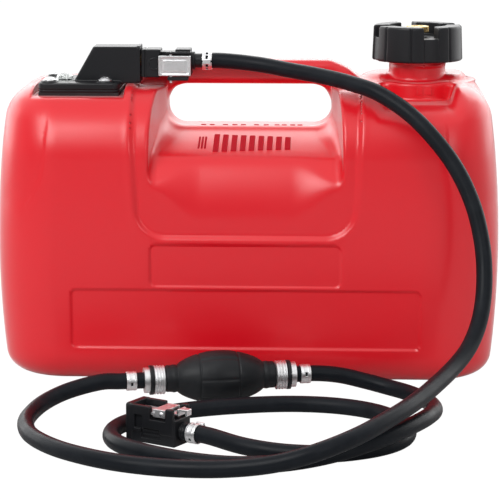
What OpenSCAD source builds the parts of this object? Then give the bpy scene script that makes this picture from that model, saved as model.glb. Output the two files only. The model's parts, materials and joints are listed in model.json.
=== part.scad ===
// Portable fuel tank for an outboard engine, with its pickup unit, primer bulb and hose.
// +Z is up, +X runs along the tank towards the filler, -Y is the front.
// The origin is the middle of the tank's footprint, on the surface that it stands on.

/* [Tank] */
// Length of the tank
tank_l = 412; // [380:4:480]
// Depth of the tank
body_d = 184; // [164:2:216]
// Height of the two shoulders
shoulder_h = 240; // [234:0.5:250]
// Wall of the blow-moulded shell
wall = 3; // [2.5:0.5:4]
// Depth of the sunk collar round the handle
collar_relief = 2.5; // [1.5:0.5:4]
// Depth of the label recess
label_relief = 1.2; // [0.6:0.2:2]

/* [Handle] */
// Top of the handle
handle_top = 257; // [254:1:266]
// Thickness of the handle, top to bottom
handle_t = 20; // [16:1:22]
// Depth of the handle, front to back
handle_d = 25; // [20:1:32]
// Half the length of the finger gap
gap_half = 68; // [56:1:72]
// Height of the crest under the finger gap
crest_h = 203; // [195:1:206]

/* [Filler] */
// Distance of the filler neck from the middle
neck_x = 138.8; // [130:0.2:146]
// Outer radius of the neck
neck_r = 23.2; // [21:0.2:25]
// Height of the neck's rim
neck_top = 270.7; // [268:0.1:274]
// Radius of the boss round the neck's foot
boss_r = 35; // [32:0.5:38]
// Depth of the neck's thread
thread_depth = 1.3; // [0.8:0.1:1.6]
// Rise of the thread in one turn
thread_lead = 6; // [5:0.5:8]
// Outer radius of the cap at its lower edge
cap_r = 37.4; // [35:0.2:40]
// Wall of the cap's skirts
cap_wall = 2.6; // [2:0.1:3]
// Height of the cap's skirt over the neck
cap_skirt = 13.7; // [12:0.1:15]
// Height of the cap's crown over its hub
crown_h = 10; // [7:0.5:12]
// Width of the slot across the crown
slot_w = 12.5; // [9:0.5:15]
// Thickness of the cap's gasket
gasket_t = 1.8; // [1.4:0.1:2.4]
// Radius of the vent knob
vent_r = 9.3; // [7:0.1:11]
// Radius of the vent screw's stem
vent_stem_r = 2.5; // [2:0.1:3]

/* [Pickup unit] */
// Distance of the pickup unit from the middle, to the left
pickup_x = -137.3; // [-142:0.1:-130]
// Place of the pickup unit, front to back
pickup_y = -20.5; // [-26:0.5:-14]
// Width of the square base plate
plate_w = 66.5; // [62:0.5:72]
// Thickness of the base plate
plate_t = 7; // [5:0.5:9]
// Thickness of the base gasket
base_gasket_t = 2.5; // [1.5:0.5:4]
// Distance of the screws from the plate's middle lines
screw_off = 23.1; // [21:0.1:25]
// Radius of the screws' shanks
screw_r = 2.2; // [1.8:0.1:2.5]
// Radius of the hole in the tank under the unit
well_r = 23; // [20:0.5:24]
// Width of the elbow housing, front to back
elbow_w = 23; // [20:1:23]
// Height of the elbow housing over the plate
elbow_h = 30.5; // [29:0.5:34]
// Radius of the pickup tube
tube_r = 4; // [3:0.5:5]
// Radius of the strainer
strainer_r = 7; // [6:0.5:9]
// Radius of the gauge lens
lens_r = 7.4; // [6:0.2:8]
// Height of the gauge lens over the plate
lens_h = 6; // [4:0.5:8]
// Length of the float arm
arm_l = 72; // [60:1:80]
// Radius of the float
float_r = 12; // [9:0.5:14]

/* [Hose] */
// Outer diameter of the hose
hose_od = 12.8; // [12:0.1:13.4]
// Bore of the hose
hose_id = 8.4; // [7.6:0.1:9]
// Width of the hose clamps' band
clamp_w = 8; // [6:0.5:9]
// Thickness of the clamps' band
clamp_t = 1; // [0.8:0.1:1.4]

/* [Connectors] */
// Radius of the nipple that a connector pushes on to
nipple_r = 5; // [4.5:0.1:5.4]
// Width of the connector bodies
conn_w = 21; // [19:0.5:23]
// Length of the tank connector's body
conn_l = 40; // [38:1:44]
// Thickness of the metal latches
latch_t = 1.5; // [1:0.1:2]
// Radius of the latch pins
pin_r = 1.2; // [1:0.1:1.4]
// Depth of the engine connector's socket
socket_l = 19; // [16:1:19]

/* [Primer bulb] */
// Outer radius of the bulb
bulb_r = 20; // [18:0.2:20.2]
// Length of the bulb between its necks
bulb_l = 69.5; // [64:0.5:76]
// Wall of the bulb
bulb_wall = 3; // [2:0.5:4]
// Outer radius of the end ferrules
ferrule_r = 11.4; // [10.8:0.2:12.4]
// Length of the end ferrules
ferrule_l = 9.4; // [8:0.2:11]
// Ribs round each ferrule
ferrule_ribs = 4; // [3:1:6]

/* [Hidden] */

$fn = 64;
facet = 32;          // facets of the small rounds inside hulls
fit = 0.1;           // clearance between pieces that stay put
play = 0.3;          // clearance between pieces that move past each other
run = 0.05;          // clearance of a pin in its hole
eps = 0.01;

tank_red = "#D2232E";
hose_black = "#26282B";
plastic_black = "#2B2D30";
steel = "#C9CBCC";
brass = "#C2A04E";

hose_sides = 10;     // sides of the hose's cross-section

// ---- tank shell -------------------------------------------------------------------
end_top_r = 25;      // rounding of the ends into the shoulders
end_low_r = 18;
front_top_h = 46;    // rounding of the front into the shoulders, across and down
front_top_v = 56;
front_low_r = 26;
end_sag = 8.5;         // barrel shape of the ends and of the front
front_sag = 4;
belly = 0.44;        // height of the widest place, as a share of the shoulders'
corner_share = 0.56; // plan corner, as a share of the half depth

arc_steps = 6;       // steps of each rounding and of each plan corner

// how far a side has drawn in at height z: across and down sizes of the top rounding,
// one radius below, and the barrel's sag
function draw_in(z, h, across, down, low, sag) =
    sag * pow((z - belly * h) / (h / 2), 2)
    + (z > h - down ? across * (1 - sqrt(max(0, 1 - pow((z - h + down) / down, 2)))) : 0)
    + (z < low ? low * (1 - sqrt(max(0, 1 - pow((low - z) / low, 2)))) : 0);

// heights of the rings, dense where the sides turn
function ring_heights(h, low, down) = concat(
    [for (i = [0:arc_steps]) low * (1 - cos(90 * i / arc_steps))],
    [for (i = [1:3]) low + (h - down - low) * i / 4],
    [for (i = [0:2 * arc_steps]) h - down + down * sin(90 * i / (2 * arc_steps))]);

// one plan ring: a rounded rectangle with half sizes a and b
function plan_ring(a, b, z) = let (r = corner_share * b)
    [for (q = [0:3], i = [0:arc_steps])
        let (t = 90 * q + 90 * i / arc_steps,
             sx = (q == 0 || q == 3) ? 1 : -1,
             sy = q < 2 ? 1 : -1)
        [sx * (a - r) + r * cos(t), sy * (b - r) + r * sin(t), z]];

// solid between rings of equal count, closed at both ends
module loft(rings) {
    n = len(rings[0]);
    m = len(rings);
    polyhedron(
        points = [for (ring = rings, p = ring) p],
        faces = concat(
            [[for (i = [0:n - 1]) i]],
            [for (k = [0:m - 2], i = [0:n - 1]) let (j = (i + 1) % n)
                [k * n + i, (k + 1) * n + j, k * n + j]],
            [for (k = [0:m - 2], i = [0:n - 1]) let (j = (i + 1) % n)
                [k * n + i, (k + 1) * n + i, (k + 1) * n + j]],
            [[for (i = [n - 1:-1:0]) (m - 1) * n + i]]),
        convexity = 6);
}

// the plain body, drawn in by t on every side
module body_form(t = 0) {
    h = shoulder_h - 2 * t;
    translate([0, 0, t])
        loft([for (z = ring_heights(h, front_low_r, front_top_v))
            plan_ring(tank_l / 2 - t - draw_in(z, h, end_top_r, end_top_r, end_low_r, end_sag),
                      body_d / 2 - t - draw_in(z, h, front_top_h, front_top_v,
                                               front_low_r, front_sag),
                      z)]);
}

// the saddle under the handle, open to the front and the back, larger by t
saddle_y = [15, 22, 45, 68, 84, 96, 110];
saddle_drop = [0, 4, 8, 17, 31, 48, 70];
saddle_flare = [0, 1, 5, 8, 10, 11, 12];
saddle_round = 14;
function saddle_ring(y, w, floor_z, top_z) = concat(
    [for (i = [0:arc_steps]) let (t = 180 + 90 * i / arc_steps)
        [-w + saddle_round + saddle_round * cos(t), y,
         floor_z + saddle_round + saddle_round * sin(t)]],
    [for (i = [0:arc_steps]) let (t = 270 + 90 * i / arc_steps)
        [w - saddle_round + saddle_round * cos(t), y,
         floor_z + saddle_round + saddle_round * sin(t)]],
    [[w, y, top_z], [-w, y, top_z]]);
module saddle(t = 0) {
    n = len(saddle_y);
    loft([for (s = [n - 1:-1:0])
            saddle_ring(saddle_y[s], gap_half + t + saddle_flare[s],
                        crest_h - t - saddle_drop[s], handle_top + wall),
          for (s = [0:n - 1])
            saddle_ring(-saddle_y[s], gap_half + t + saddle_flare[s],
                        crest_h - t - saddle_drop[s], handle_top + wall)]);
}

// handle stations along half its length: distance, drop of the top, drop of the underside
handle_low = handle_top - handle_t;
handle_root = 27;    // length of each root over its shoulder
handle_at = [0, gap_half - 14, gap_half - 6, gap_half - 1, gap_half + 4,
             gap_half + 13, gap_half + 22, gap_half + handle_root];
handle_drop = [0, 0, 0, 0, 2, 6, 13, 20];
handle_sink = [0, 0, 2.5, 9, 14, 18, 22, 24];
handle_edge = 5;     // rounding of the handle's long edges
handle_steps = 4;
function handle_ring(i, side) = let (
        top = handle_top - handle_drop[i],
        low = handle_low - handle_sink[i],
        a = handle_d / 2 - handle_edge,
        b = (top - low) / 2 - handle_edge)
    [for (q = [0:3], k = [0:handle_steps])
        let (t = 90 * q + 90 * k / handle_steps,
             sy = (q == 0 || q == 3) ? 1 : -1,
             sz = q < 2 ? 1 : -1)
        [side * handle_at[i], sy * a + handle_edge * cos(t),
         (top + low) / 2 + sz * b + handle_edge * sin(t)]];
module handle() {
    n = len(handle_at) - 1;
    loft(concat([for (i = [n:-1:1]) handle_ring(i, -1)], [for (i = [0:n]) handle_ring(i, 1)]));
}

// outline of the sunk collar round the handle, in width and height
collar_half = 92;
collar_low = 122;
collar_round = 22;
module collar_outline(t = 0) {
    hull() {
        for (s = [-1, 1])
            translate([s * (collar_half - collar_round - 4), collar_low + collar_round])
                circle(r = collar_round + t, $fn = facet);
        translate([-collar_half - t, collar_low + 75])
            square([2 * collar_half + 2 * t, shoulder_h - collar_low - 70]);
    }
}
module across_tank(from = 60) {
    for (s = [0, 1])
        mirror([0, s, 0])
            translate([0, -from, 0])
                rotate([90, 0, 0])
                    linear_extrude(body_d)
                        children();
}
module collar_recess(t = 0) {
    difference() {
        across_tank(handle_d / 2 - 4 - t) collar_outline(t);
        body_form(collar_relief + t);
    }
}

// outline of the bare label field, and its recess
label_half = 141;
label_low = 30;
label_high = 79;
label_round = 5;
module label_outline() {
    hull()
        for (x = [-1, 1], z = [label_low + label_round, label_high - label_round])
            translate([x * (label_half - label_round), z])
                circle(r = label_round, $fn = facet);
}
module label_recess() {
    difference() {
        across_tank() label_outline();
        body_form(label_relief);
    }
}

// the pocket in front of the neck's boss and the seat of the pickup unit
pocket_floor = 225;
boss_h = shoulder_h + 0.5;
plate_z = 231.5;
seat_edge = 4;
seat_round = 6;
module neck_pocket() {
    difference() {
        translate([neck_x - boss_r, -body_d / 2 - wall, pocket_floor])
            cube([2 * boss_r, body_d / 2 + wall - neck_r, boss_h]);
        translate([neck_x, 0, 0])
            cylinder(r = boss_r - 2, h = handle_top);
    }
}
module pickup_seat(t = 0) {
    translate([pickup_x, pickup_y, plate_z - t])
        linear_extrude(shoulder_h)
            hull()
                for (x = [-1, 1], y = [-body_d, plate_w / 2 - seat_round])
                    translate([x * (plate_w / 2 - seat_round), y])
                        circle(r = seat_round + seat_edge + t, $fn = facet);
}

// low deck behind the neck
deck_round = 21;
module neck_deck() {
    translate([neck_x + 5, 15, pocket_floor])
        linear_extrude(shoulder_h + 3 - pocket_floor)
            hull()
                for (x = [-1, 1])
                    translate([20 * x, 0]) circle(r = deck_round);
}

// thread ridge round the neck, one unbroken ribbon
thread_turns = 2.3;
thread_steps = 24;
thread_low = neck_top - 18;
function thread_ring(i, n) = let (a = 360 * i / thread_steps - 120,
        z = thread_low + thread_lead * i / thread_steps,
        d = thread_depth * min(1, min(i, n - i) / 4) + 0.02)
    [for (q = [[-1, 1.6], [d, 0.7], [d, -0.7], [-1, -1.6]])
        [(neck_r + q[0]) * cos(a), (neck_r + q[0]) * sin(a), z + q[1]]];
module neck_thread() {
    n = floor(thread_turns * thread_steps);
    loft([for (i = [0:n]) thread_ring(i, n)]);
}

screw_boss_r = 6;
screw_len = 14;
module screw_places() {
    for (x = [-1, 1], y = [-1, 1])
        translate([pickup_x + x * screw_off, pickup_y + y * screw_off, 0])
            children();
}

module tank_shell() color(tank_red) {
    difference() {
        union() {
            difference() {
                body_form();
                collar_recess();
                saddle();
                label_recess();
                neck_pocket();
                pickup_seat();
            }
            handle();
            translate([neck_x, 0, 0]) {
                translate([0, 0, pocket_floor - 20])
                    cylinder(r = boss_r - 2, h = boss_h - pocket_floor + 20);
                translate([0, 0, boss_h - 10])
                    cylinder(r = neck_r, h = neck_top - boss_h + 10);
                neck_thread();
            }
            neck_deck();
        }
        difference() {
            body_form(wall);
            collar_recess(wall);
            saddle(2 * wall);
            pickup_seat(wall);
            translate([neck_x - boss_r - wall, -body_d, pocket_floor - wall])
                cube([2 * boss_r + 2 * wall, body_d - boss_r + 12, shoulder_h]);
            screw_places()
                hull() {
                    translate([0, 0, plate_z - screw_len + 3])
                        cylinder(r = screw_boss_r, h = shoulder_h, $fn = facet);
                    translate([0, 0, plate_z - screw_len])
                        cylinder(r = screw_r, h = 1, $fn = facet);
                }
        }
        translate([neck_x, 0, pocket_floor - 24])
            cylinder(r = neck_r - wall, h = neck_top);
        translate([pickup_x, pickup_y, plate_z - screw_len - 4])
            cylinder(r = well_r, h = shoulder_h);
        screw_places()
            translate([0, 0, plate_z - screw_len + 2])
                cylinder(r = screw_r + fit, h = shoulder_h);
    }
}

// ---- filler cap ---------------------------------------------------------------------
cap_bore = neck_r + thread_depth + play + 0.4;
cap_low = neck_top - cap_skirt;
cap_ceiling = neck_top + gasket_t + fit;
hub_t = 3.3;
hub_top = cap_ceiling + hub_t;
crown_top = hub_top + crown_h;
crown_in = 23.5;
cap_draft = 1.2;     // how much the cap narrows to its top
slot_turn = -73;     // direction of the slot across the crown
groove_turn = 27;    // the grip grooves lie this far to each side of the slots
groove_d2 = 1.2;     // depth of the grip grooves
module filler_cap() color(plastic_black)
    translate([neck_x, 0, 0])
        difference() {
            rotate_extrude()
                polygon([[vent_stem_r + run, cap_ceiling], [cap_bore, cap_ceiling],
                         [cap_bore, cap_low + 1], [cap_bore + cap_wall, cap_low + 1],
                         [cap_bore + cap_wall, hub_top - 1],
                         [cap_r - cap_draft - cap_wall, hub_top - 1],
                         [cap_r - cap_wall, cap_low], [cap_r, cap_low],
                         [cap_r - cap_draft, crown_top - 2], [cap_r - cap_draft - 2, crown_top],
                         [crown_in + 1, crown_top], [crown_in, crown_top - 1],
                         [crown_in, hub_top], [vent_stem_r + run, hub_top]]);
            for (k = [0, 90])
                rotate([0, 0, slot_turn + k])
                    translate([-2 * cap_r, -slot_w / 2, hub_top + 0.6])
                        cube([4 * cap_r, slot_w, 2 * crown_h]);
            for (k = [0:3], s = [-1, 1])
                rotate([0, 0, slot_turn + 90 * k + s * groove_turn])
                    translate([cap_r - cap_draft - groove_d2, -groove_d2, cap_low - 1])
                        cube([5, 2 * groove_d2, crown_top]);
        }

module cap_gasket() color("dimgray")
    translate([neck_x, 0, neck_top])
        difference() {
            cylinder(r = cap_bore - fit, h = gasket_t);
            translate([0, 0, -1]) cylinder(r = neck_r - wall + 1, h = gasket_t + 2);
        }

washer_t = 1.2;
knob_low = hub_top + washer_t;
knob_t = 5;
module vent_washer() color("dimgray")
    translate([neck_x, 0, hub_top])
        difference() {
            cylinder(r = vent_stem_r + 3, h = washer_t);
            translate([0, 0, -1]) cylinder(r = vent_stem_r + run, h = washer_t + 2);
        }

knob_notches = 16;
module vent_screw() color(brass)
    translate([neck_x, 0, 0]) {
        difference() {
            union() {
                translate([0, 0, knob_low]) cylinder(r = vent_stem_r + 2, h = 2.6);
                translate([0, 0, knob_low + 2.6]) cylinder(r = vent_r, h = knob_t);
            }
            for (i = [0:knob_notches - 1])
                rotate([0, 0, 360 * i / knob_notches])
                    translate([vent_r + 0.5, 0, knob_low + 2.5])
                        cylinder(r = 1, h = knob_t + 1);
        }
        translate([0, 0, cap_ceiling - 6]) cylinder(r = vent_stem_r, h = knob_low - cap_ceiling + 7);
    }

// ---- pickup unit --------------------------------------------------------------------
plate_low = plate_z + base_gasket_t;
plate_top = plate_low + plate_t;
outlet_y = -27;
outlet_z = 258;
elbow_left = pickup_x - 6;   // foot of the elbow's sloping side
elbow_right = -87;
elbow_slope = 17.5;
elbow_top = plate_top + elbow_h;
plate_round = 6;
tube_x = pickup_x + 12.3;
lens_x = pickup_x - 14.2;
pointer_t = 0.8;
dial_depth = 2.4;

module base_gasket() color("dimgray")
    difference() {
        translate([pickup_x, pickup_y, plate_z])
            linear_extrude(base_gasket_t)
                square(plate_w - 1, center = true);
        translate([pickup_x, pickup_y, plate_z - 1]) cylinder(r = well_r, h = base_gasket_t + 2);
        screw_places()
            translate([0, 0, plate_z - 1]) cylinder(r = screw_r + fit, h = base_gasket_t + 2);
    }

elbow_bore = nipple_r + fit;
module pickup_housing() color(plastic_black)
    difference() {
        union() {
            translate([pickup_x, pickup_y, plate_low])
                hull()
                    for (x = [-1, 1], y = [-1, 1])
                        translate([x * (plate_w / 2 - plate_round),
                                   y * (plate_w / 2 - plate_round), 0])
                            cylinder(r = plate_round, h = plate_t, $fn = facet);
            hull()
                for (y = [-1, 1])
                    translate([0, outlet_y + y * (elbow_w / 2 - 3), 0]) {
                        translate([elbow_left + 3, 0, plate_top - 1]) cylinder(r = 3, h = 2, $fn = facet);
                        translate([elbow_left + elbow_slope + 3, 0, elbow_top - 4])
                            cylinder(r = 3, h = 4, $fn = facet);
                        translate([elbow_right - 3, 0, plate_top - 1])
                            cylinder(r = 3, h = elbow_h + 1, $fn = facet);
                    }
        }
        // the outlet runs from the tube to the nipple's seat
        translate([tube_x, outlet_y, outlet_z])
            rotate([0, 90, 0])
                cylinder(r = elbow_bore, h = 200);
        translate([tube_x, outlet_y, plate_low - 1])
            cylinder(r = tube_r + fit, h = outlet_z - plate_low + 1);
        // the dial's pocket under the lens
        translate([lens_x, outlet_y, plate_top - dial_depth])
            cylinder(r = lens_r - 1, h = 20);
        translate([lens_x, outlet_y, plate_low - 1])
            cylinder(r = 1.6, h = plate_t + 2);
        screw_places()
            translate([0, 0, plate_low - 1])
                cylinder(r = screw_r + fit, h = plate_t + 2);
    }

head_r = 4.8;
head_h = 2.6;
module base_screws() color(steel)
    screw_places() {
        translate([0, 0, plate_z - screw_len + 3])
            cylinder(r = screw_r, h = plate_top - plate_z + screw_len - 3 + eps);
        difference() {
            translate([0, 0, plate_top])
                rotate_extrude()
                    polygon([[0, 0], [head_r, 0], [head_r, 0.6], [head_r - 0.8, head_h - 0.6],
                             [head_r - 2.4, head_h], [0, head_h]]);
            for (a = [0, 90])
                rotate([0, 0, a])
                    translate([-2.4, -0.5, plate_top + head_h - 1.5])
                        cube([4.8, 1, 3]);
        }
    }

module gauge_lens() color([0.9, 0.92, 0.9, 0.5])
    translate([lens_x, outlet_y, plate_top])
        rotate_extrude()
            polygon([[lens_r - 1.2, 0], [lens_r, 0], [lens_r - 0.6, lens_h - 2],
                     [lens_r - 2.6, lens_h], [0, lens_h], [0, lens_h - 1],
                     [lens_r - 3.2, lens_h - 1], [lens_r - 1.7, lens_h - 2.4]]);

stem_r = 3;
arm_z = 130;         // height of the float arm's pivot
lug_gap = 3.4;       // the arm's eye lies between the stem's lugs
lug_t = 1.6;
lug_drop = 9;
module gauge_pointer() color("white")
    translate([lens_x, outlet_y, plate_top - dial_depth + 0.3]) {
        cylinder(r = lens_r - 1.6, h = pointer_t);
        translate([-0.7, -0.7, 0]) cube([lens_r - 2.2, 1.4, pointer_t + 0.7]);
        translate([0, 0, -plate_t]) cylinder(r = 1.3, h = plate_t + eps);
    }

module gauge_stem() color(plastic_black)
    translate([lens_x, outlet_y, 0]) {
        difference() {
            translate([0, 0, arm_z + lug_drop]) cylinder(r = stem_r, h = plate_low - arm_z - lug_drop);
            translate([0, 0, plate_low - plate_t]) cylinder(r = 1.6, h = plate_t + 1);
        }
        difference() {
            for (s = [0, 1])
                mirror([s, 0, 0])
                    translate([lug_gap / 2, -3, arm_z - 4])
                        cube([lug_t, 6, lug_drop + 4 + eps]);
            translate([-20, 0, arm_z]) rotate([0, 90, 0]) cylinder(r = pin_r + run, h = 40);
        }
        translate([-lug_gap / 2 - lug_t, -3, arm_z + lug_drop])
            cube([lug_gap + 2 * lug_t, 6, 2]);
    }

module gauge_pin() color(steel)
    translate([lens_x - lug_gap / 2 - lug_t - 0.6, outlet_y, arm_z])
        rotate([0, 90, 0])
            cylinder(r = pin_r, h = lug_gap + 2 * lug_t + 1.2);

arm_r = 1.2;
eye_r = 3.2;
float_l = 26;
module float_arm() color(steel)
    translate([lens_x, outlet_y, arm_z]) {
        difference() {
            translate([-lug_gap / 2 + play, 0, 0])
                rotate([0, 90, 0]) cylinder(r = eye_r, h = lug_gap - 2 * play);
            translate([-20, 0, 0]) rotate([0, 90, 0]) cylinder(r = pin_r + run, h = 40);
        }
        translate([0, eye_r - 0.6, 0]) rotate([-90, 0, 0]) cylinder(r = arm_r, h = arm_l - eye_r);
    }
module float() color("ivory")
    translate([lens_x, outlet_y + arm_l, arm_z])
        difference() {
            rotate([0, 90, 0])
                translate([0, 0, -float_l / 2])
                    rotate_extrude()
                        polygon([[0, 0], [float_r - 2, 0], [float_r, 2], [float_r, float_l - 2],
                                 [float_r - 2, float_l], [0, float_l]]);
            translate([0, -2 * arm_l, 0])
                rotate([-90, 0, 0]) cylinder(r = arm_r + run, h = 2 * arm_l);
        }

strainer_h = 16;
strainer_z = wall + 4;
module pickup_tube() color("gainsboro")
    translate([tube_x, outlet_y, 0])
        difference() {
            translate([0, 0, strainer_z + strainer_h - 8])
                cylinder(r = tube_r, h = plate_top + 4 - strainer_z - strainer_h + 8);
            translate([0, 0, strainer_z])
                cylinder(r = tube_r - 1, h = shoulder_h + 40);
        }
module strainer() color("ivory")
    translate([tube_x, outlet_y, strainer_z])
        difference() {
            cylinder(r = strainer_r, h = strainer_h);
            translate([0, 0, 2]) cylinder(r = strainer_r - 1.5, h = strainer_h - 4);
            translate([0, 0, strainer_h - 3]) cylinder(r = tube_r + fit, h = 6);
            for (a = [0:45:315])
                rotate([0, 0, a])
                    translate([0, -0.9, 4]) cube([2 * strainer_r, 1.8, strainer_h - 8]);
        }

// ---- tank connector, along the outlet's axis -------------------------------------------
conn_left = elbow_right + 0.4;
conn_right = conn_left + conn_l;
nipple_seat = 16;    // length of the nipple in the housing
nipple_out = 20;     // length of the nipple in the connector
groove_w = 2;
groove_d = 1.2;
module along_outlet(x = 0) {
    translate([x, outlet_y, outlet_z])
        rotate([0, 90, 0])
            children();
}
module outlet_nipple() color(brass)
    along_outlet(elbow_right - nipple_seat)
        rotate_extrude()
            polygon([[2.5, 0], [nipple_r, 0], [nipple_r, nipple_seat + nipple_out - 6],
                     [nipple_r - groove_d, nipple_seat + nipple_out - 6],
                     [nipple_r - groove_d, nipple_seat + nipple_out - 6 + groove_w],
                     [nipple_r, nipple_seat + nipple_out - 6 + groove_w],
                     [nipple_r, nipple_seat + nipple_out - 1],
                     [nipple_r - 1, nipple_seat + nipple_out], [2.5, nipple_seat + nipple_out]]);
module nipple_seal() color("dimgray")
    along_outlet(elbow_right + nipple_out - 6 + fit)
        difference() {
            cylinder(r = nipple_r + 0.25, h = groove_w - 2 * fit);
            translate([0, 0, -1]) cylinder(r = nipple_r - groove_d + fit, h = groove_w + 2);
        }

conn_top = outlet_z + 10.5;
conn_low = outlet_z - 12.5;
neck_len = 8.4;       // the hose's end stands this far from the connector's body
neck_rad = 5.6;
ledge_out = 4.4;     // the ledges that hold the latch's pin
ledge_t = 2.4;
latch_l = 26.5;
latch_h = 16.5;
latch_mid = -61;
pin_x = -63;
conn_front = outlet_y - conn_w / 2;
latch_back = 1.5;    // from the pin's axis to the back of the latch's plate
latch_ear = 1.9;
pin_y = conn_front - 2.4;
latch_mid_z = outlet_z - 4.4;
module tank_connector() color(plastic_black)
    difference() {
        union() {
            // body with a tall shoulder at the housing
            translate([conn_left, conn_front, conn_low]) cube([15, conn_w, conn_top - conn_low]);
            translate([conn_left + 15 - eps, conn_front, latch_mid_z - latch_h / 2])
                cube([conn_l - 15 + eps, conn_w, latch_h]);
            // ledges for the pin, above and below the latch
            for (z = [latch_mid_z + latch_h / 2 + play + 1, latch_mid_z - latch_h / 2 - play - 1 - ledge_t])
                translate([pin_x - 4, conn_front - ledge_out, z])
                    cube([conn_right - pin_x + 4, ledge_out + 8, ledge_t]);
            for (z = [latch_mid_z + latch_h / 2 - eps, latch_mid_z - latch_h / 2 - play - 1 - eps])
                translate([pin_x - 4, conn_front + 0.6, z])
                    cube([conn_right - pin_x + 4, 7.4, play + 1 + 2 * eps]);
            along_outlet(conn_right - eps) cylinder(r = neck_rad, h = neck_len - collar);
        }
        along_outlet(conn_left - 1) cylinder(r = nipple_r + play, h = nipple_out + 1.4);
        along_outlet(conn_left) cylinder(r = 2.5, h = 80);
        along_outlet(conn_right - barb_seat) cylinder(r = shank_r + fit, h = 80);
        translate([pin_x, pin_y, conn_low - 20]) cylinder(r = pin_r + run, h = 80);
    }

// brass barb: a plain shank of length seat in the connector, then three barbs in the hose
barb_l = 17;
barb_bore = 2.2;
shank_r = 3.4;
barb_r = hose_id / 2 * cos(180 / hose_sides) - fit;
// one side of the barbs' outline, which point away from the hose's end at z = 0
barb_edge = concat(
    [[barb_r - 0.5, 0]],
    [for (k = [0:2]) each [[barb_r - 0.5, 1.5 + 5 * k], [barb_r, 2 + 5 * k],
                           [barb_r - 0.5, 5 + 5 * k]]],
    [[barb_r - 0.8, barb_l]]);
collar = 2;
module barb(seat) {
    rotate_extrude()
        polygon(concat([[barb_bore, -seat], [shank_r, -seat], [shank_r, -collar],
                        [neck_rad - 0.2, -collar],
                        [neck_rad - 0.2, -fit], [barb_r - 0.5, -fit]],
                       barb_edge, [[barb_bore, barb_l]]));
}
barb_seat = 10;
module tank_barb() color(brass) along_outlet(hose_start) barb(barb_seat + neck_len);

module tank_latch() color(steel)
    difference() {
        union() {
            translate([latch_mid - latch_l / 2, pin_y - latch_back - latch_t,
                       latch_mid_z - latch_h / 2])
                cube([latch_l, latch_t, latch_h]);
            // ears that turn on the pin
            for (z = [latch_mid_z + latch_h / 2 - 1.4, latch_mid_z - latch_h / 2])
                translate([pin_x - 2.4, pin_y - latch_back - eps, z])
                    cube([4.8, latch_back + latch_ear, 1.4]);
        }
        translate([pin_x, pin_y, conn_low - 20]) cylinder(r = pin_r + run, h = 80);
    }
module tank_latch_pin() color(steel)
    translate([pin_x, pin_y, latch_mid_z - latch_h / 2 - play - 1 - ledge_t - 0.6])
        cylinder(r = pin_r, h = latch_h + 2 * (play + 1 + ledge_t + 0.6));

// ---- clamps ------------------------------------------------------------------------
clamp_r = hose_od / 2 + fit;
ear_w = 4;
ear_h = 3;
// band with its crimped ear, along +Z, ear towards +X
module clamp() color(steel) {
    difference() {
        union() {
            cylinder(r = clamp_r + clamp_t, h = clamp_w);
            translate([0, -ear_w / 2, clamp_w * 0.1])
                cube([clamp_r + clamp_t + ear_h, ear_w, clamp_w * 0.8]);
        }
        translate([0, 0, -1]) cylinder(r = clamp_r, h = clamp_w + 2);
        translate([0, -ear_w / 2 + clamp_t, -1])
            cube([clamp_r + ear_h, ear_w - 2 * clamp_t, clamp_w + 2]);
    }
}
hose_start = conn_right + neck_len;
module tank_clamp()
    along_outlet(hose_start + play)
        rotate([0, 0, -90]) clamp();

// ---- hoses --------------------------------------------------------------------------
// the bulb's axis lies near the ground in front of the tank
bulb_at = [-76.5, -157.1, 20.3];
bulb_turn = 12;
ring_t = 4.3;
flange_t = 2.7;
tail = 9;            // bulb's neck between ferrule and swell
bulb_run = 2 * (ring_t + flange_t + ferrule_l + tail) + bulb_l;
module along_bulb(x = 0) {
    translate(bulb_at)
        rotate([0, 0, bulb_turn])
            translate([x, 0, 0])
                rotate([0, 90, 0])
                    children();
}
function on_bulb(x) = bulb_at + x * [cos(bulb_turn), sin(bulb_turn), 0];

// the engine connector lies on the ground inside the hose's loop
socket_at = [-74, -248, 0];
socket_turn = -30;
body_l = 40;
neck_in = 6;         // length of the engine connector's neck
socket_z = 10.5;
module along_socket(x = 0, z = socket_z) {
    translate(socket_at)
        rotate([0, 0, socket_turn])
            translate([x, 0, z])
                rotate([0, 90, 0])
                    children();
}
function on_socket(x, z = socket_z) =
    socket_at + [x * cos(socket_turn), x * sin(socket_turn), z];

// route of the hose from the tank to the bulb
tank_route = concat(
    [[hose_start, outlet_y, outlet_z], [hose_start + 18, outlet_y, outlet_z]],
    [[8, -31, 255.5], [34, -42, 252], [59, -56, 249], [83, -72, 245], [107, -88, 238],
     [135, -104, 220], [162, -117, 190], [178, -128, 160], [186, -138, 130], [188, -148, 104],
     [186, -160, 82], [181, -173, 66], [173, -189, 54], [162, -210, 46], [149, -238, 41],
     [132, -276, 37], [113, -311, 34], [90, -341, 29], [62, -359, 22], [33, -361, 14],
     [0, -356, 8.5], [-35, -352, 7], [-70, -343, 7], [-100, -327, 7], [-128, -303, 7],
     [-149, -272, 7], [-158, -239, 7], [-157, -211, 8], [-149, -188, 11], [-133, -172, 15.5]],
    [on_bulb(-34), on_bulb(-18), on_bulb(0)]);
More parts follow.
